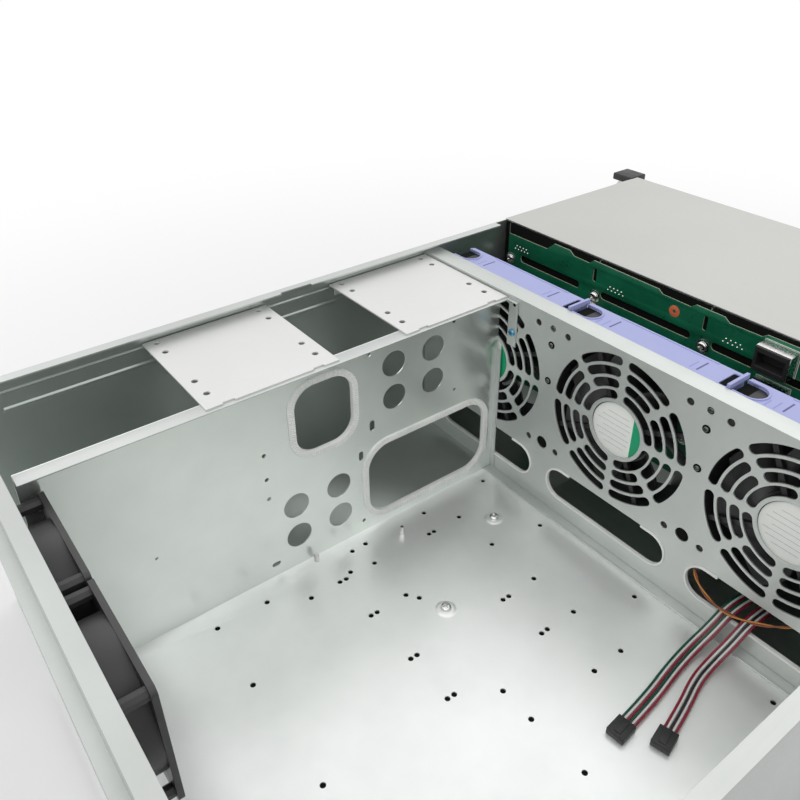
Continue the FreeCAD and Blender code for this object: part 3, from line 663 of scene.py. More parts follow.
def toneBody(body, values):
    # painted shade: the outer faces, the supply channel, the cage side of the fan wall and the top rims take
    # darker copies of the lit body steel
    work = bmesh.new()
    work.from_mesh(body.data)
    channelX, cageY = dividerX + 0.5, wallY - 0.6
    for place, across in (((channelX * mm, 0, 0), (1, 0, 0)), ((0, cageY * mm, 0), (0, 1, 0))):
        bmesh.ops.bisect_plane(work, geom=[*work.verts, *work.edges, *work.faces], dist=1e-7,
                               plane_co=place, plane_no=across)
    side = bodyHigh.x - values["edge"] - 0.15
    for face in work.faces:
        x, y, z = face.calc_center_median() / mm
        outside = abs(x) > side or z < values["edge"] + 0.1 or y > bodyHigh.y - 0.4 or y < bodyLow.y + 0.4
        inShade = x > channelX or y < cageY
        face.material_index = 3 if z > values["foldShadeFrom"] else 1 if outside else 2 if inShade else 0
    work.to_mesh(body.data)
    work.free()
    for look in ("outerSteel", "channelSteel", "foldSteel"):
        body.data.materials.append(finishes[look])


def makeBody(values):
    r = values["holeRadius"]
    drill = bmesh.new()
    for spot in behindWall(values["holes"], 0.6):
        place = Matrix.Translation(Vector(spot) * mm)
        bmesh.ops.create_cone(drill, cap_ends=True, segments=14, radius1=r * mm, radius2=r * mm,
                              depth=6 * mm, matrix=place)
    body = cadCopy("chassis", "caseBody", "bodySteel", values["edge"], meshFrom("drill", drill))
    toneBody(body, values)
    stand(body, "chassis")
    peg, pit = turnedMesh("peg", values["peg"], 12), discMesh("pit", r - 0.02, 0.1, 14)
    scatter("floorPegs", behindWall(values["pegs"], sheetT), peg, "screwNickel")
    # painted shade: dark discs low in the floor's holes
    scatter("floorHolePits", behindWall(values["holes"], 0.2), pit, "holeShade", slot="steel_body")


makeBody(bodyWork)
print("case: body made")

# fan wall: grilles and cable slots
fanWall = {
    "centreHeight": 108.3,
    "rings": [(27.4, 1), (36.0, 2), (45.0, 2), (54.0, 2)],  # radius, slots in a quarter
    "slotWidth": 6.9,
    "spoke": 4.8,
    "hubHole": 21.2,
    "cableSlot": (114.0, 28.0, 30.5),  # width, height, middle
    "plainHoles": [(59.0, 5.2), (160.5, 2.5)],  # height, radius
    "cornerHoles": (51.2, 57.4, 159.7, 2.7),  # aside, low, high, radius
    "thickness": 1.2,
    "foot": 9.0,
    "rim": 1.3,
    "rimEnd": 9.0,  # how far the rim runs back along the slot's top
}


def rimLoop(x, z, w, h, out, end, count=14):
    # path under a slot and round its ends, open along its top
    r = h / 2
    far, top = w / 2 - r, z + r + out
    return [(x + far - end, top), *arc(x + far, z, r + out, 0.25 * fullTurn, -0.25 * fullTurn, count),
            *arc(x - far, z, r + out, 0.75 * fullTurn, 0.25 * fullTurn, count), (x - far + end, top)]


def makeFanWall(values):
    wide, sector = values["slotWidth"], []
    for radius, parts in values["rings"]:
        trim, share = (values["spoke"] + wide) / 2 / radius, fullTurn / 4 / parts
        for k in range(parts):
            sector.append(arcSlotLoop(radius, wide, share * k + trim, share * (k + 1) - trim))
    x0, x1, top = wallLow.x, wallHigh.x, wallHigh.z
    fixed = [roundLoop(x0, x1, sheetT, top, 0.4, 2)]
    w, h, z = values["cableSlot"]
    aside, low, high, r = values["cornerHoles"]
    for x in fanPlaces:
        fixed += [circleLoop(x, values["centreHeight"], values["hubHole"], 48), slotLoop(x, z, w, h, 12)]
        fixed += [circleLoop(x + side * aside, up, r, 16) for side in (-1, 1) for up in (low, high)]
    fixed += [circleLoop(side * fanPitch / 2, up, r) for side in (-1, 1) for up, r in values["plainHoles"]]
    sheet = addObject("fanWallSheet", outlineCurve("grilleSector", sector))
    sheet = growth(sheet, "punched", "wallSteel", {
        "Fixed outline": template("fanWallOutline", outlineCurve("fanWallOutline", fixed)),
        "Turns": 4, "Copies": len(fanPlaces), "First": -fanPitch * mm, "Pitch": fanPitch * mm,
        "Height": values["centreHeight"] * mm, "Thickness": values["thickness"] * mm})
    sheet.data.transform(toWorld("xz", wallY * mm))
    bevel(sheet, 0.18, 1, 50)
    smooth(sheet.data, 60, weld=True)
    stand(flatten(sheet), "fan_wall")
    inner, deep = wallY - sheetT, wallLow.y
    standBoxes("fanWallFolds", "wallSteel", 0.4, 3, [
        (x0, x1, deep, wallY - 0.6, top - values["thickness"], top),
        (x0, x0 + sheetT, deep, inner, sheetT, top - sheetT),
        (x1 - sheetT, x1, deep, inner, sheetT, top - sheetT),
        (x0, dividerX - 0.2, wallY, wallY + values["foot"], sheetT, 2 * sheetT)])
    rims = []
    for x in fanPlaces:
        inside, outside = (rimLoop(x, z, w, h, out, values["rimEnd"]) for out in (-values["rim"], 0.2))
        rims.append(sheetMesh("slotRim", outside + inside[::-1], [], wallY - 2.0, wallY + 1.0, "xz", 0.35))
    rims = joinMeshes("cableSlotTrims", rims)
    standMesh("cableSlotTrims", rims, "edgeStrip", "cable_slot_trims", flat=True)


makeFanWall(fanWall)
print("case: fan wall punched")

# divider wall: round holes, two large openings, ribbed edge strips
divider = {
    "thickness": 1.0,
    "rear": 308.5,
    "top": 167.2,
    "flange": 10.5,
    "foot": 11.0,
    "tab": (101.0, 110.4, 128.5),  # on the fan wall: from, to, lowest point
    "lip": (116.0, 119.0),  # at the divider's front end: from, highest point
    "grids": [(83.9, 128.7), (171.6, 43.0)],
    "gridStep": (36.0, 28.0),
    "holeRadius": 10.2,
    "openings": [(139.0, 185.0, 98.0, 152.0, 16.0), (12.4, 127.5, 12.5, 76.5, 19.0)],
    "small": [(46.2, 158.5, 1.5), (122.8, 157.7, 1.5), (44.2, 97.7, 1.2), (210, 111.1, 1.6), (210, 90.6, 1.6),
              (210, 73.8, 1.6), (133, 11.5, 1.6), (292.1, 67.5, 1.2)],
    "slots": [(122.4, 97.3, 4.5, 9.0), (133.1, 74.4, 4.0, 8.0), (210.4, 12.2, 7.0, 3.6)],
    "stripLip": 5.4,
    "stripHigh": 1.3,
    "ribStep": 1.7,
}


def openingLoop(opening, grow, count):
    u0, u1, v0, v1, r = opening
    return roundLoop(wallY + u0 - grow, wallY + u1 + grow, v0 - grow, v1 + grow, r + grow, count)


def makeDivider(values):
    x0, x1 = dividerX, dividerX + values["thickness"]
    y0, y1, top = wallY, values["rear"], values["top"]
    dy, dz = values["gridStep"]
    holes = [circleLoop(wallY + cy + a * dy, cz + b * dz, values["holeRadius"], 40)
             for cy, cz in values["grids"] for a in (-0.5, 0.5) for b in (-0.5, 0.5)]
    holes += [openingLoop(opening, 1, 10) for opening in values["openings"]]
    holes += [circleLoop(wallY + y, z, r, 12) for y, z, r in values["small"]]
    holes += [slotLoop(wallY + y, z, w, h, 5) for y, z, w, h in values["slots"]]
    sheet = sheetMesh("dividerSheet", roundLoop(y0, y1, sheetT, top, 0.3, 2), holes, x0, x1, "yz", 0.15)
    standMesh("dividerSheet", sheet, "dividerSteel", "divider_wall", flat=True)
    tab0, tab1, tabLow = values["tab"]
    # painted shade: the divider's folds take the darker fold tone of the body steel
    standBoxes("dividerFolds", "foldSteel", 0.35, 2, [
        (x0 - values["flange"], x0 + 0.4, y0 + 2.6, y1, top - 1.0, top),
        (x1 - 0.3, x1 + values["foot"], y0 + 8, y1, sheetT, sheetT + 1.0),
        (tab0, tab1, y0, y0 + 1.0, tabLow, top),
        (tab0, x0 + 0.2, y0, y0 + 2.8, top - 1.0, top),
        (values["lip"][0], x0 + 0.3, y0 + 0.02, y0 + 1.05, sheetT, values["lip"][1])])
    lip, high = values["stripLip"], values["stripHigh"]
    rib = template("rib", boxMesh("rib", [(-0.42, 0.42, 0.5 - lip, -0.3, -0.5, 0.5)], 0.2, 1))
    bands = []
    for k, opening in enumerate(values["openings"]):
        inner, outer = openingLoop(opening, 0, 12), openingLoop(opening, lip, 12)
        bands.append(sheetMesh("stripBand", outer, [inner], x0 - high, x1 + high, "yz", 0.8))
        for side, x in enumerate((x0 - high, x1 + high)):
            path = addObject("stripRibs" + str(k) + str(side), outlineCurve("ribPath", [inner]))
            ribs = growth(path, "rib", "edgeStrip", {"Rib": rib, "Spacing": values["ribStep"] * mm})
            ribs.data.transform(toWorld("yz", x * mm))
            smooth(ribs.data, 40)
            stand(ribs)
    standMesh("edgeStrips", joinMeshes("edgeStrips", bands), "edgeStrip", "divider_grommets", flat=True)


makeDivider(divider)
print("case: divider and edge strips made")

# bridge plates over the supply channel
bridge = {
    "nodes": ["bridge_plate_front", "bridge_plate_rear"],
    "thickness": 1.2,
    "holes": [5.0, 19.8, 65.8, 83.3],
    "inset": 8.4,
    "holeRadius": 2.2,
    "notch": (1.5, 8.0, 7.0),  # depth, length, distance behind the holes
}


def makeBridges(values):
    for node in values["nodes"]:
        low, high = nodeBox(node)
        x0, x1, y0, y1 = low.x, high.x, low.y, high.y
        holes = [circleLoop(x1 - dx, y, values["holeRadius"], 18) for dx in values["holes"]
                 for y in (y0 + values["inset"], y1 - values["inset"])]
        deep, length, behind = values["notch"]
        inset, half = values["inset"] + behind, length / 2
        outer = [(x0, y0), (x1, y0), (x1, y1), (x0, y1)]
        for y in (y1 - inset, y0 + inset):
            outer += [(x0, y + half), (x0 + deep, y + half), (x0 + deep, y - half), (x0, y - half)]
        name = "bridge" + node.split("_")[-1].capitalize()
        plate = sheetMesh(name, outer, holes, high.z - values["thickness"], high.z, "xy", 0.15)
        fold = boxMesh(name, [(x1 - 1.2, x1, y0 + 4, y1 - 4, low.z, high.z - 0.4)])
        standMesh(name, joinMeshes(name, [plate, fold]), "plateSteel", node, flat=True)


makeBridges(bridge)
print("case: bridge plates made")

# front cover over the drive cage
coverLook = {"dimples": [(112.9, -189.8), (112.8, -278.5), (6.5, -189.5)], "radius": 9.0, "depth": 0.28}


def makeCover(values):
    r, work = values["radius"], bmesh.new()
    for x, y in values["dimples"]:
        place = Matrix.Translation(Vector((x, y, bodyHigh.z + 1.0 + r - values["depth"])) * mm)
        bmesh.ops.create_uvsphere(work, u_segments=24, v_segments=48, radius=r * mm, matrix=place)
    stand(cadCopy("cage_cover", "cageCover", "coverSteel", 0.3, meshFrom("dimpleTool", work)), "cage_cover")


makeCover(coverLook)

# steel parts carried over with broken edges
steelParts = [
    # painted shade: the rear panel and the drive cage take darker copies of the body steel
    ("rear_panel", "rearPanel", "outerSteel", 0.25),
    ("slot_covers", "slotCovers", "slotCoverSteel", 0.2),
    ("drive_cage", "driveCage", "channelSteel", 0.2),
    ("fan_shelf", "fanShelf", "wallSteel", 0.2),
    ("rack_ear_left", "rackEarLeft", "wallSteel", 0.3),
    ("rack_ear_right", "rackEarRight", "wallSteel", 0.3),
]
for node, name, look, edge in steelParts:
    stand(cadCopy(node, name, look, edge), node)
print("case: steel parts finished")

# handles with their end caps, and the power button
handles = {
    "caps": [(-337.0, -314.8, 170.6, 177.3), (-337.0, -319.8, 1.2, 10.5)],  # front, back, low, high
    "across": (215.8, 239.6),
    "edge": 1.0,
}


def makeHandles(values):
    for side, sign in (("left", -1), ("right", 1)):
        node, name = "handle_" + side, side.capitalize()
        stand(cadCopy(node, "handle" + name, "blackPlastic", values["edge"], steps=3, shade=30), node)
        x0, x1 = sorted(sign * x for x in values["across"])
        caps = [(x0, x1, *cap) for cap in values["caps"]]
        standBoxes("handleCaps" + name, "blackPlastic", values["edge"] + 0.1, 3, caps)
    stand(cadCopy("power_button", "powerButton", "blackPlastic"), "power_button", body="power_button")


makeHandles(handles)

# backplane: green board, silver joints, headers, sticker
backplane = {
    "half": 206.0,
    "low": 4.4,
    "topLine": [(206.0, 166.4), (160.0, 166.6), (152.0, 173.8), (134.6, 173.9), (130.0, 170.4), (113.3, 170.1),
                (108.6, 173.9), (44.9, 173.0), (40.9, 170.2), (16.1, 169.8), (11.8, 173.0)],
    "slots": [(121.0, 190.0), (12.0, 98.0), (-90.0, -6.0), (-190.0, -110.0)],
    "slotHigh": 6.4,
    "slotTop": 147.4,
    "uprights": [106.0, 2.0, -100.0],
    "upright": (162.0, 3.4, 11.5),  # middle, width, height
    "shadow": (212.0, 175.7),  # half width and top of the dark gap behind
    "nylon": (104.0, 136.0),
    "solder": [(189.0, 156.0), (83.0, 156.0), (-22.6, 156.0), (-128.0, 156.0)],
    "joints": (9, 1.9),  # joints in a row, their step
    "sticker": (28.5, 161.0, 4.6, 1.4),  # place, outer and inner radius
    "headers": [(-57.0, 26.5), (-119.0, 24.5)],  # place and width of the printed outlines
    "headerLow": 2.6,
    "outline": (4.9, 20.2, 0.5),  # above the row's start, height, line
    "shell": (6.0, 12.5, 18.5, 0.5),  # above the row's start, half width, height, thickness
}


def makeBoard(values):
    left, low = values["half"], values["low"]
    line = values["topLine"]
    edge = [(left, low), *line, *[(-x, z) for x, z in reversed(line)], (-left, low)]
    holes = [slotLoop((x0 + x1) / 2, values["slotTop"] - bayPitch * row, x1 - x0, values["slotHigh"], 5)
             for row in range(bayRows - 1) for x0, x1 in values["slots"]]
    holes += [slotLoop(x, *values["upright"], 5) for x in values["uprights"]]
    sheet = sheetMesh("backplaneBoard", list(reversed(edge)), holes, boardY - 1.0, boardY, "xz", 0.08)
    board = addObject("backplaneBoard", sheet, "boardGreen")
    sheet.materials.append(finishes["boardEdge"])
    for polygon in sheet.polygons:
        if abs(polygon.normal.y) < 0.6:
            polygon.material_index = 1
    half, top = values["shadow"]
    # painted shade: a near-black sheet in the gap behind the board
    standBoxes("boardShadow", "holeShade", 0, 2, [(-half, half, boardY - 1.9, boardY - 1.7, low, top)])
    stand(board, "backplane")
    stand(cadCopy("backplane_connectors", "backplaneHeaders", "blackPlastic", 0.35), "backplane_connectors")


def makeBoardParts(values):
    blob = turnedMesh("solderBlob", [(0, 0), (0.75, 0), (0.62, 0.35), (0.25, 0.7), (0, 0.75)], 10)
    count, step = values["joints"]
    spots = [(x - 7 + step * k, boardY, z + (1.4 if k % 2 else -1.2) + 0.5 * math.sin(3.1 * k))
             for x, z in values["solder"] for k in range(count)]
    scatter("solderJoints", spots, blob, "screwNickel", turn=towardRear)
    x, z = values["nylon"]
    cap = turnedMesh("clipCap", [(0, 0), (4.6, 0.4), (5.6, 1.6), (4.4, 3.0), (0, 3.4)], 20)
    pin = turnedMesh("clipBody", [(0, 0), (1.2, 0.4), (2.2, 3.0), (3.2, 10.0), (3.4, 13.0), (0, 13.4)], 16)
    shift(cap, (x, boardY + 5.0, z))
    shift(pin, (x, boardY + 5.6, z - 12.6))
    standMesh("nylonClip", smooth(joinMeshes("nylonClip", [cap, pin]), 50), "nylon")
    x, z, r, hole = values["sticker"]
    outer, inner = circleLoop(x, z, r, 32), circleLoop(x, z, hole, 16)
    disc = sheetMesh("boardSticker", outer, [inner], boardY + 0.02, boardY + 0.14, "xz", 0.02)
    standMesh("boardSticker", disc, "stickerOrange")


def makeHeaders(values):
    rows = [values["headerLow"] + bayPitch * row for row in range(bayRows)]
    lift, high, line = values["outline"]
    printed = []
    for x, w in values["headers"]:
        x0, x1 = x - w / 2, x + w / 2
        for z in (row + lift for row in rows):
            printed += [(a, b, boardY, boardY + 0.1, c, d) for a, b, c, d in (
                (x0, x1, z, z + line), (x0, x1, z + high - line, z + high),
                (x0, x0 + line, z, z + high), (x1 - line, x1, z, z + high))]
    standBoxes("headerOutlines", "printWhite", 0, 2, printed)
    lift, half, high, thick = values["shell"]
    x, shells = values["headers"][0][0], []
    for z in (row + lift for row in rows):
        shells += [(a, b, boardY + 0.4, boardY + 11.5, c, d) for a, b, c, d in (
            (x - half + 0.1, x + half - 0.1, z + high - thick, z + high),
            (x - half, x - half + thick, z - 0.2, z + high - 0.3),
            (x + half - thick, x + half, z - 0.2, z + high - 0.3))]
    standBoxes("headerShells", "screwNickel", 0.12, 1, shells)


makeBoard(backplane)
makeBoardParts(backplane)
makeHeaders(backplane)
print("case: backplane made")

# screws of the case, all grown on points
caseScrews = {
    "wall": [146.8, 116.2],
    "deep": 160.5,
    "board": [(x, z) for z in (144, 60) for x in (-202, -103.5, 0, 103.5, 202)],
    "lock": (105.3, 140.3),
    "strapHole": (104.6, 164.2),
    "wander": 6.0,  # how far the heads may be turned, each its own way
    "wallSize": 0.62,
    "washer": [(0, 0), (5.4, 0), (5.4, 0.4), (5.0, 0.6), (0, 0.6)],
}


def makeScrews(values):
    half, wander = fanPitch / 2, values["wander"]
    wallPoints = [(s * half, wallY, z) for s in (-1, 1) for z in values["wall"]]
    # painted shade: dark discs round the wall screws, behind the plain holes and in the strap's hole
    scatter("wallScrewPits", wallPoints, discMesh("screwPit", 3.0, 0.06, 20), "holeShade", turn=towardRear)
    wallPoints += [(x, wallY - 1.1, values["deep"]) for x in (-half, half)]
    scatter("wallScrews", wallPoints, screwShapes["small"], "darkScrew", "case_screws", turn=towardRear,
            wander=wander, axis=(0, 1, 0), size=values["wallSize"])
    for k, (z, r) in enumerate(fanWall["plainHoles"]):
        scatter("wallHoleBacks" + str(k), [(x, wallY - 1.18, z) for x in (-half, half)],
                discMesh("holeBack", r - 0.03, 0.05, 24), "holeShade", turn=towardRear)
    x, z = values["strapHole"]
    pit = discMesh("strapPit", 1.5, 0.06, 14)
    scatter("strapHole", [(x, wallY + 1.01, z)], pit, "holeShade", turn=towardRear)
    x, z = values["lock"]
    scatter("lockScrew", [(x, wallY + 1.0, z)], screwShapes["small"], "blueLockScrew", turn=towardRear)
    washer = turnedMesh("washer", values["washer"], 24)
    for name, lift, mesh, turned in (("boardWashers", 0.0, washer, 0.0),
                                     ("boardScrews", 0.6, screwShapes["board"], wander)):
        scatter(name, [(x, boardY + lift, z) for x, z in values["board"]], mesh, "screwNickel",
                turn=towardRear, wander=turned, axis=(0, 1, 0))
    bosses = behindWall(bodyWork["bosses"], sheetT + 1.6)
    scatter("floorScrews", bosses, screwShapes["board"], "screwNickel", turn=(0, 0, 0.4), wander=wander)


makeScrews(caseScrews)
print("case: screws made")

# lift-out fans: lavender trays, frames, rotors, labels
fanUnit = {
    "centre": 107.6,
    "labelRadius": 20.9,
    "chord": -13.0,
    "lines": [(12.6, -9.5, 9.0), (8.2, -11.0, 13.5), (3.9, -11.5, 16.8), (-0.4, -9.0, 12.0), (-4.6, -11.5, 17.2),
              (-8.9, -10.5, 14.5), (-13.0, -8.0, 9.5)],  # height, from, to
    "trayTop": 169.15,
    "half": 64.4,
    "rearGap": 9.2,  # between the tray's top and the fan wall
    "notch": (54.8, -26.0, 8.4),
    "latch": (-62.2, -56.8, -35.0, -17.0),
    "rail": (-44.0, 36.0),
    "grooveShades": {  # grooves drawn as painted shade, deep and soft; width, then place, front and back of each
        "dark": ("trayShade", 1.3, [(32.6, -33.2, -20.4), (-38.7, -33.5, -20.5)]),
        "light": ("trayLine", 1.0, [(38.0, -29.0, -19.0), (43.4, -26.0, -18.5), (-33.8, -30.3, -19.9)])},
}
rotorWork = {
    "blades": 7,
    "share": 1.14,  # of the angle from one blade to the next
    "sweep": 0.42,
    "thickness": 1.3,
    "hub": 25.5,
    "margin": 1.4,
    "tipGap": 0.4,
}


def makeRotor(name, node, x, z, values):
    # hub cup with wide swept blades, turned about the fan's shaft
    low, high = nodeBox(node)
    height, tip = high.y - low.y, (high.x - low.x) / 2 - values["tipGap"]
    hub, root = values["hub"], values["hub"] - 1.0
    wide = fullTurn / values["blades"] * values["share"]
    rows, steps = 6, 10
    work = bmesh.new()
    grid = []
    for i in range(rows + 1):
        r, line = root + (tip - root) * i / rows, []
        for j in range(steps + 1):
            a = wide * j / steps + values["sweep"] * (i / rows) ** 1.5
            y = (height / 2 - values["margin"]) * (1 - 2 * (j / steps) ** 1.25)
            line.append(work.verts.new(Vector((r * math.cos(a), y, r * math.sin(a))) * mm))
        grid.append(line)
    for inner, outer in zip(grid, grid[1:]):
        for j in range(steps):
            work.faces.new((inner[j], inner[j + 1], outer[j + 1], outer[j]))
    blade = addObject(name, meshFrom(name, work))
    modify(blade, "SOLIDIFY", thickness=values["thickness"] * mm, offset=0.0)
    bake(blade)
    smooth(blade.data, 45, weld=True)
    growth(blade, "ring", "bladeBlack", {"Copies": values["blades"]})
    cup = [(0, 0), (hub - 1.6, 0), (hub - 0.5, 0.5), (hub, 1.6), (hub, height), (0, height)]
    cup = turnedMesh("cup", cup, 48)
    shift(cup, (0, -height / 2, 0), Matrix.Rotation(-math.pi / 2, 4, "X"))
    whole = joinMeshes(name, [blade.data.copy(), cup])
    bpy.data.objects.remove(blade)
    return smooth(shift(whole, (x, (low.y + high.y) / 2, z)), 45)


def makeFanTray(n, x, values):
    module, look = "fan_module_" + n, "lavenderPlastic"
    front, back, top = nodeBox("fan_tray_" + n)[0].y, wallY - values["rearGap"], values["trayTop"]
    cx, cy, r = x + values["notch"][0], wallY + values["notch"][1], values["notch"][2]
    x0, x1 = x - values["half"], x + values["half"]
    tool = sheetMesh("notchTool", notchLoop(cx, cy, r, x + 66.0), [], top - 4.0, top + 2.0, "xy", 0.02)
    stand(cadCopy("fan_tray_" + n, "fanTray" + n, look, 0.3, tool), "fan_tray_" + n, body=module)
    u0, u1, v0, v1 = values["latch"]
    u0, u1, v0, v1 = x + u0, x + u1, wallY + v0, wallY + v1
    latch = roundLoop(u0, u1, v0, v1, 1.2, 4)
    latchRim = roundLoop(u0 - 1.0, u1 + 1.0, v0 - 1.0, v1 + 1.0, 2.0, 4)
    r0, r1 = values["rail"]
    notch = notchLoop(cx, cy, r, x1)
    notchRim = notchLoop(cx, cy, r + 1.3, x1) + notch[::-1]
    notchFloor = notchLoop(cx, cy, r + 0.4, x1 - 0.4)
    outline = [(x0, front + 0.1), (x1, front + 0.1), *notch, (x1, back), (x0, back)]
    detail = joinMeshes("fanTrayDetail" + n, [
        sheetMesh("trayTop", outline, [latch], top - 0.3, top + 0.05, "xy", 0.04),
        sheetMesh("notchRim", notchRim, [], top - 7.0, top + 0.9, "xy", 0.3),
        sheetMesh("latchRim", latchRim, [latch], top - 0.2, top + 0.7, "xy", 0.25),
        boxMesh("latchArm", [(u0 - 2.6, u0 - 1.0, v0 - 0.6, v1, top, top + 0.9)], 0.35),
        boxMesh("trayRails", [(x + r0, x + r1, front + 0.3, front + 1.9, top - 0.2, top + 0.5)])])
    standMesh("fanTrayDetail" + n, detail, look, body=module, flat=True)
    # painted shade: dark sheets in the latch opening and down in the finger notch
    shadeSheets = joinMeshes("latchFloor", [
        sheetMesh("latchFloor", latch, [], top - 0.29, top - 0.2, "xy", 0.01),
        sheetMesh("notchFloor", notchFloor, [], top - 1.7, top - 1.6, "xy", 0.01)])
    standMesh("trayLatchFloor" + n, shadeSheets, "holeShade", body=module)
    # painted shade: the tray's grooves drawn as thin dark lines on its top
    for kind, (shade, wide, grooveShades) in values["grooveShades"].items():
        standBoxes("trayMarks" + kind.capitalize() + n, shade, 0, 2, [
            (x + g - wide / 2, x + g + wide / 2, wallY + y0, wallY + y1, top + 0.04, top + 0.09)
            for g, y0, y1 in grooveShades], module)


def makeFanLabel(n, x, values):
    module, z = "fan_module_" + n, values["centre"]
    r, y = values["labelRadius"], nodeBox("fan_tray_" + n)[1].y
    cut = math.acos(values["chord"] / r)  # angle at which the green field starts
    for name, look, loop in (("fanLabel", "labelPaper", arc(x, z, r, cut, -cut, 40)),
                             ("fanLabelChord", "labelGreen", arc(x, z, r, cut, fullTurn - cut, 24))):
        standMesh(name + n, sheetMesh(name, loop, [], y + 0.01, y + 0.12, "xz", 0.02), look, body=module)
    standBoxes("fanLabelRules" + n, "labelInk", 0, 2, [
        (x + a, x + b, y + 0.12, y + 0.14, z + up - 0.14, z + up + 0.14)
        for up, a, b in values["lines"]], module)


def makeFans(values):
    for n, x in zip("123", fanPlaces):
        makeFanTray(n, x, values)
        node = "fan_frame_" + n
        stand(cadCopy(node, "fanFrame" + n, "fanBlack", 0.4), node, body="fan_module_" + n)
        name, node = "fanRotor" + n, "fan_rotor_" + n
        rotor = makeRotor(name, node, x, values["centre"], rotorWork)
        standMesh(name, rotor, "bladeBlack", node, body="fan_" + n + "_rotor")
        makeFanLabel(n, x, values)
    for n in "12":
        node = "rear_fan_frame_" + n
        stand(cadCopy(node, "rearFanFrame" + n, "fanGrey"), node)
        node, rotor = "rear_fan_rotor_" + n, "rear_fan_" + n + "_rotor"
        stand(cadCopy(node, "rearFanRotor" + n, "bladeBlack", 0.12, shade=38), node, body=rotor)


makeFans(fanUnit)
print("case: fans made")

# drive trays: mesh bezel, grip, light pipes, steel carrier
driveTray = {
    "bezel": 12.0,
    "grille": (-45.5, 21.0, 3.2, 22.8),
    "hole": 1.75,
    "pitch": 4.3,
    "columns": 15,
    "rows": 3,
    "grip": (27.2, 44.4, 6.2, 19.8),
    "gripRibs": (4, 3.0, 3.2, 1.1),  # count, first, step, width
    "lenses": [(-48.1, 8.0), (-48.1, 13.0)],
    "looks": ["blackPlastic", "outerSteel", "holeShade", "lavenderPlastic", "lightPipe"],
}


def makeCarrier(middle, front, base, values):
    g0, g1, h0, h1 = values["grille"]
    pocket = (middle + g0, middle + g1, front - 1, front + 3.0, base + h0, base + h1)
    carrier = cadCopy("drive_tray_1_1", "driveTray", "blackPlastic", 0.35, boxMesh("pocket", [pocket], 0))
    for polygon in carrier.data.polygons:
        y = polygon.center.y / mm
        # painted shade: beyond the bezel the carrier takes the darker outer copy of the body steel
        if y > front + values["bezel"] + 0.2:
            polygon.material_index = 1
        elif polygon.normal.y < -0.9 and front + 1 < y < front + 5:  # bottom of the pocket, painted shade
            polygon.material_index = 2
    mesh = carrier.data.copy()
    bpy.data.objects.remove(carrier)
    return mesh


def makeGrille(middle, front, base, values):
    g0, g1, h0, h1 = values["grille"]
    border = roundLoop(g0 + 0.05, g1 - 0.05, h0 + 0.05, h1 - 0.05, 0.8, 4)
    panel = addObject("grillePanel", outlineCurve("grilleHole", [circleLoop(0, 0, values["hole"], 6)]))
    panel = growth(panel, "panel", "blackPlastic", {
        "Fixed outline": template("grilleBorder", outlineCurve("grilleBorder", [border])),
        "Columns": values["columns"], "Rows": values["rows"], "Pitch": values["pitch"] * mm,
        "Centre": ((g0 + g1) / 2 * mm, (h0 + h1) / 2 * mm, 0.0), "Thickness": 1.1 * mm})
    shift(panel.data, (middle, 0, base), toWorld("xz", (front + 1.4) * mm))
    mesh = smooth(panel.data, 50, weld=True).copy()
    bpy.data.objects.remove(panel)
    return mesh


def makeDriveTrays(values):
    low, high = nodeBox("drive_tray_1_1")
    middle, front, base = (low.x + high.x) / 2, low.y, low.z
    parts = [(makeGrille(middle, front, base, values), 0)]  # mesh and the look it takes
    x0, x1, z0, z1 = values["grip"]
    x0, x1, z0, z1 = middle + x0, middle + x1, base + z0, base + z1
    count, first, step, wide = values["gripRibs"]
    ribs = [(x, x + wide, front + 1.1, front + 2.2, z0 + 2.2, z1 - 2.2)
            for x in (x0 + first + step * k for k in range(count))]
    parts.append((boxMesh("grip", [(x0, x1, front + 1.6, front + 4.6, z0, z1)], 0.9, 3), 3))
    parts.append((boxMesh("gripRibs", ribs, 0.3, 1), 3))
    g0, g1, h0, h1 = values["grille"]
    rails = [(middle + a, middle + b, front - 0.35, front + 0.3, base + c, base + d) for a, b, c, d in (
        (g0 - 1.0, g1 + 1.0, h1 + 0.2, h1 + 1.2), (g0 - 1.0, g1 + 1.0, h0 - 1.2, h0 - 0.2),
        (g1 + 1.2, g1 + 2.2, 2.0, 24.0))]
    parts.append((boxMesh("bezelRails", rails), 0))
    for x, z in values["lenses"]:
        lens = turnedMesh("lens", [(0, 0), (1.25, 0), (1.25, 0.4), (0.8, 0.8), (0, 0.95)], 12)
        shift(lens, (middle + x, front + 0.1, base + z), Matrix.Rotation(math.pi / 2, 4, "X"))
        parts.append((smooth(lens, 50), 4))
    meshes = [makeCarrier(middle, front, base, values)]
    for mesh, index in parts:
        for polygon in mesh.polygons:
            polygon.material_index = index
        meshes.append(mesh)
    whole = joinMeshes("driveTray", meshes)
    for look in values["looks"]:
        whole.materials.append(finishes[look])
    for spot in [str(column) + str(row) for column in range(1, 5) for row in range(1, bayRows + 1)]:
        place = "_".join(("tray", *spot))
        tray = addObject("driveTray" + spot, shift(whole.copy(), nodeBox("drive_" + place)[0] - low))
        stand(tray, "drive_" + place, body=place)


makeDriveTrays(driveTray)
print("case: drive trays made")

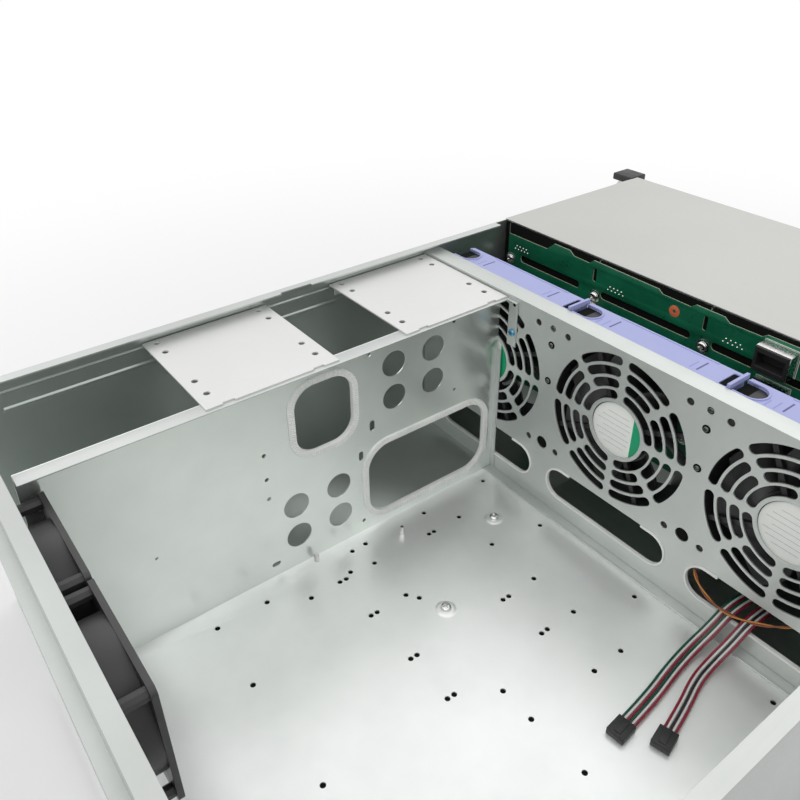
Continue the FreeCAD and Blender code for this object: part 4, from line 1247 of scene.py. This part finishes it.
# cords: panel wires in two flat groups, fan lead
cordWork = {
    "panelRoutes": [
        [(-113.4, -124.5, 17.6), (-113.4, -110.5, 17.6), (-112.5, -93.5, 21.5), (-111.0, -69.5, 25.0),
         (-108.5, -51.0, 23.2), (-106.5, -37.0, 11.5), (-105.0, -20.0, 4.2), (-107.5, 4.0, 3.9),
         (-112.5, 30.5, 3.9), (-115.0, 56.5, 3.9)],
        [(-124.4, -124.5, 17.6), (-124.4, -110.5, 17.6), (-124.2, -93.5, 21.0), (-124.5, -69.5, 24.5),
         (-123.0, -51.0, 23.0), (-121.5, -37.0, 12.0), (-120.0, -21.5, 4.2), (-122.0, -1.5, 3.9),
         (-129.0, 20.5, 3.9), (-134.0, 41.5, 3.9)],
    ],
    "leadRoute": [(-72.0, -70.0, 41.5), (-72.0, -60.0, 41.5), (-80.0, -47.0, 36.0), (-96.0, -42.0, 27.0),
                  (-118.0, -42.0, 27.5), (-142.0, -48.0, 37.0), (-152.0, -60.0, 41.5), (-152.0, -70.0, 41.5)],
    "colors": [["Red", "White", "Green", "Red", "White", "Green"], ["Red", "White", "Black", "White", "Red"]],
    "wireRadius": 0.8,
    "wireStep": 1.75,
    "leadRadius": 0.6,
    "twist": (0.62, 22),  # distance of each wire from the middle, turn along the lead
    "plug": [(0.2, 13.8, -6.0, 6.0, -2.6, 2.6), (2.0, 12.0, -2.4, 2.4, 2.4, 3.2)],
}


def routeLine(name, route):
    curve = bpy.data.curves.new(name, "CURVE")
    curve.dimensions = "3D"
    curve.resolution_u = 24
    spline = curve.splines.new("NURBS")
    spline.points.add(len(route) - 1)
    for point, place in zip(spline.points, route):
        point.co = (*(Vector(place) * mm), 1)
    spline.order_u = 3
    spline.use_endpoint_u = True
    mesh = curveMesh(curve)
    line = [v.co.copy() for v in mesh.vertices]
    bpy.data.meshes.remove(mesh)
    return line


def strandMesh(name, line, offsets, radius, looks, count=8):
    # tubes beside a line; an offset gives its tube's place (across, up) along the line
    work = bmesh.new()
    last = len(line) - 1
    across = []
    for k in range(last + 1):
        ahead = (line[min(k + 1, last)] - line[max(k - 1, 0)]).normalized()
        side = ahead.cross(Vector((0, 0, 1)))
        side = side.normalized() if side.length > 1e-4 else Vector((1, 0, 0))
        across.append((side, side.cross(ahead).normalized()))
    for index, offset in enumerate(offsets):
        rings = []
        for k, (side, up) in enumerate(across):
            ring = circleLoop(*offset(k / last), radius, count)
            rings.append([work.verts.new(line[k] + side * (a * mm) + up * (b * mm)) for a, b in ring])
        for low, high in zip(rings, rings[1:]):
            for j in range(count):
                n = (j + 1) % count
                face = work.faces.new((low[j], low[n], high[n], high[j]))
                face.material_index = index
                face.smooth = True
        for ring in (rings[0], rings[-1]):
            work.faces.new(ring).material_index = index
    bmesh.ops.recalc_face_normals(work, faces=work.faces)
    mesh = meshFrom(name, work)
    for look in looks:
        mesh.materials.append(finishes[look])
    return mesh


def beside(k, middle, step):  # a wire's place in its flat group, with a little drift
    def offset(t):
        drift = 0.25 * math.sin(5.0 * t * math.pi + 1.7 * k) * math.sin(math.pi * min(1, 3 * t))
        return (k - middle) * step + drift, 0.15 * math.sin(9 * t + 2.3 * k) * math.sin(math.pi * t)
    return offset


def winding(phase, radius, rate):  # one wire of a twisted pair
    return lambda t: (radius * math.cos(rate * t + phase), radius * math.sin(rate * t + phase))


def declareCord(piece, line, diameter, **facts):
    length = sum((b - a).length for a, b in zip(line, line[1:]))
    tuple(line[0])
    [tuple(p) for p in line]


def makeCords(values):
    step = values["wireStep"]
    for g, (route, colors) in enumerate(zip(values["panelRoutes"], values["colors"])):
        n, nodes = str(g + 1), ["panel_wires", "wire_plug"] if g == 0 else []
        line = routeLine("panelRoute", route)
        offsets = [beside(k, (len(colors) - 1) / 2, step) for k in range(len(colors))]
        looks = ["wire" + color for color in colors]
        mesh = strandMesh("panelWires" + n, line, offsets, values["wireRadius"], looks)
        wires = stand(addObject("panelWires" + n, mesh), *nodes[:1])
        end = Vector(route[-1])
        ahead = end - Vector(route[-2])
        shell = boxMesh("wirePlug", values["plug"], 0.35)
        shift(shell, end, Matrix.Rotation(math.atan2(ahead.y, ahead.x), 4, "Z"))
        plug = standMesh("wirePlug" + n, shell, "blackPlastic", *nodes[1:])
        declareCord(wires, line, round(len(colors) * step * mm, 4), far_end="connector", lay="loose",
                    with_pieces=[plug])
    line = routeLine("leadRoute", values["leadRoute"])
    pair = [winding(phase, *values["twist"]) for phase in (0, math.pi)]
    mesh = strandMesh("fanLead", line, pair, values["leadRadius"], ["wireOrange", "wireBrown"])
    lead = stand(addObject("fanLead", mesh), "fan_lead")
    declareCord(lead, line, 4 * values["leadRadius"] * mm, far_end="object", lay="hanging")


makeCords(cordWork)
print("case: cords laid")

# stage: pale floor, soft lamps, white surroundings
stageLook = {
    "floor": (0.90, 0.90, 0.90),
    "size": 40.0,
    "fade": (0.42, 1.1),  # distances between which the floor turns white
    "lamps": [  # place, size, power
        ((-1.2, 1.6, 2.4), 3.2, 20.0),
        ((1.8, 1.0, 2.2), 3.0, 13.0),
        ((0.2, -1.8, 2.0), 3.0, 13.0),
    ],
    "aim": (0.0, 0.0, 0.08),
    "sky": 0.70,
}


def makeFloor(values):
    size = values["size"] / 2
    mesh = bpy.data.meshes.new("studioFloor")
    corners = [(-size, -size, 0), (size, -size, 0), (size, size, 0), (-size, size, 0)]
    mesh.from_pydata(corners, [], [(0, 1, 2, 3)])
    material, tree, shader = newMaterial("studioFloor")
    setInputs(tree, shader, {
        "Base Color": (*values["floor"], 1), "Roughness": 0.9, "Specular IOR Level": 0.1})
    place = addNode(tree, "ShaderNodeTexCoord")
    far = addNode(tree, "ShaderNodeVectorMath", {0: place.outputs["Object"]}, operation="LENGTH")
    near, clear = values["fade"]
    fade = addNode(tree, "ShaderNodeMapRange", {
        "Value": far.outputs["Value"], "From Min": near, "From Max": clear}, interpolation_type="SMOOTHSTEP")
    white = addNode(tree, "ShaderNodeEmission")
    blend = addNode(tree, "ShaderNodeMixShader", {
        "Fac": fade.outputs["Result"], 1: shader.outputs[0], 2: white.outputs[0]})
    setInputs(tree, tree.nodes["Material Output"], {"Surface": blend.outputs[0]})
    floor = addObject("studioFloor", mesh)
    mesh.materials.append(material)


def makeLamps(values):
    for k, (place, size, power) in enumerate(values["lamps"]):
        data = bpy.data.lights.new("softLamp" + str(k), "AREA")
        data.size = size
        data.energy = power
        lamp = addObject("softLamp" + str(k), data)
        lamp.location = place
        lamp.rotation_euler = (Vector(values["aim"]) - Vector(place)).to_track_quat("-Z", "Y").to_euler()


def makeWorld(values):
    world = bpy.data.worlds.new("studio")
    scene.world = world
    world.use_nodes = True
    tree = world.node_tree
    sky = tree.nodes["Background"]
    setInputs(tree, sky, {"Color": (1, 1, 1, 1), "Strength": values["sky"]})
    seen = addNode(tree, "ShaderNodeBackground", {"Color": (1, 1, 1, 1), "Strength": 1.0})
    path = addNode(tree, "ShaderNodeLightPath").outputs
    direct = path["Is Camera Ray"]
    for ray in ("Is Glossy Ray", "Is Transmission Ray"):
        direct = addNode(tree, "ShaderNodeMath", {0: direct, 1: path[ray]}, operation="MAXIMUM").outputs[0]
    mix = addNode(tree, "ShaderNodeMixShader", {"Fac": direct, 1: sky.outputs[0], 2: seen.outputs[0]})
    setInputs(tree, tree.nodes["World Output"], {"Surface": mix.outputs[0]})


makeFloor(stageLook)
makeLamps(stageLook)
makeWorld(stageLook)
print("case: stage and lamps set")
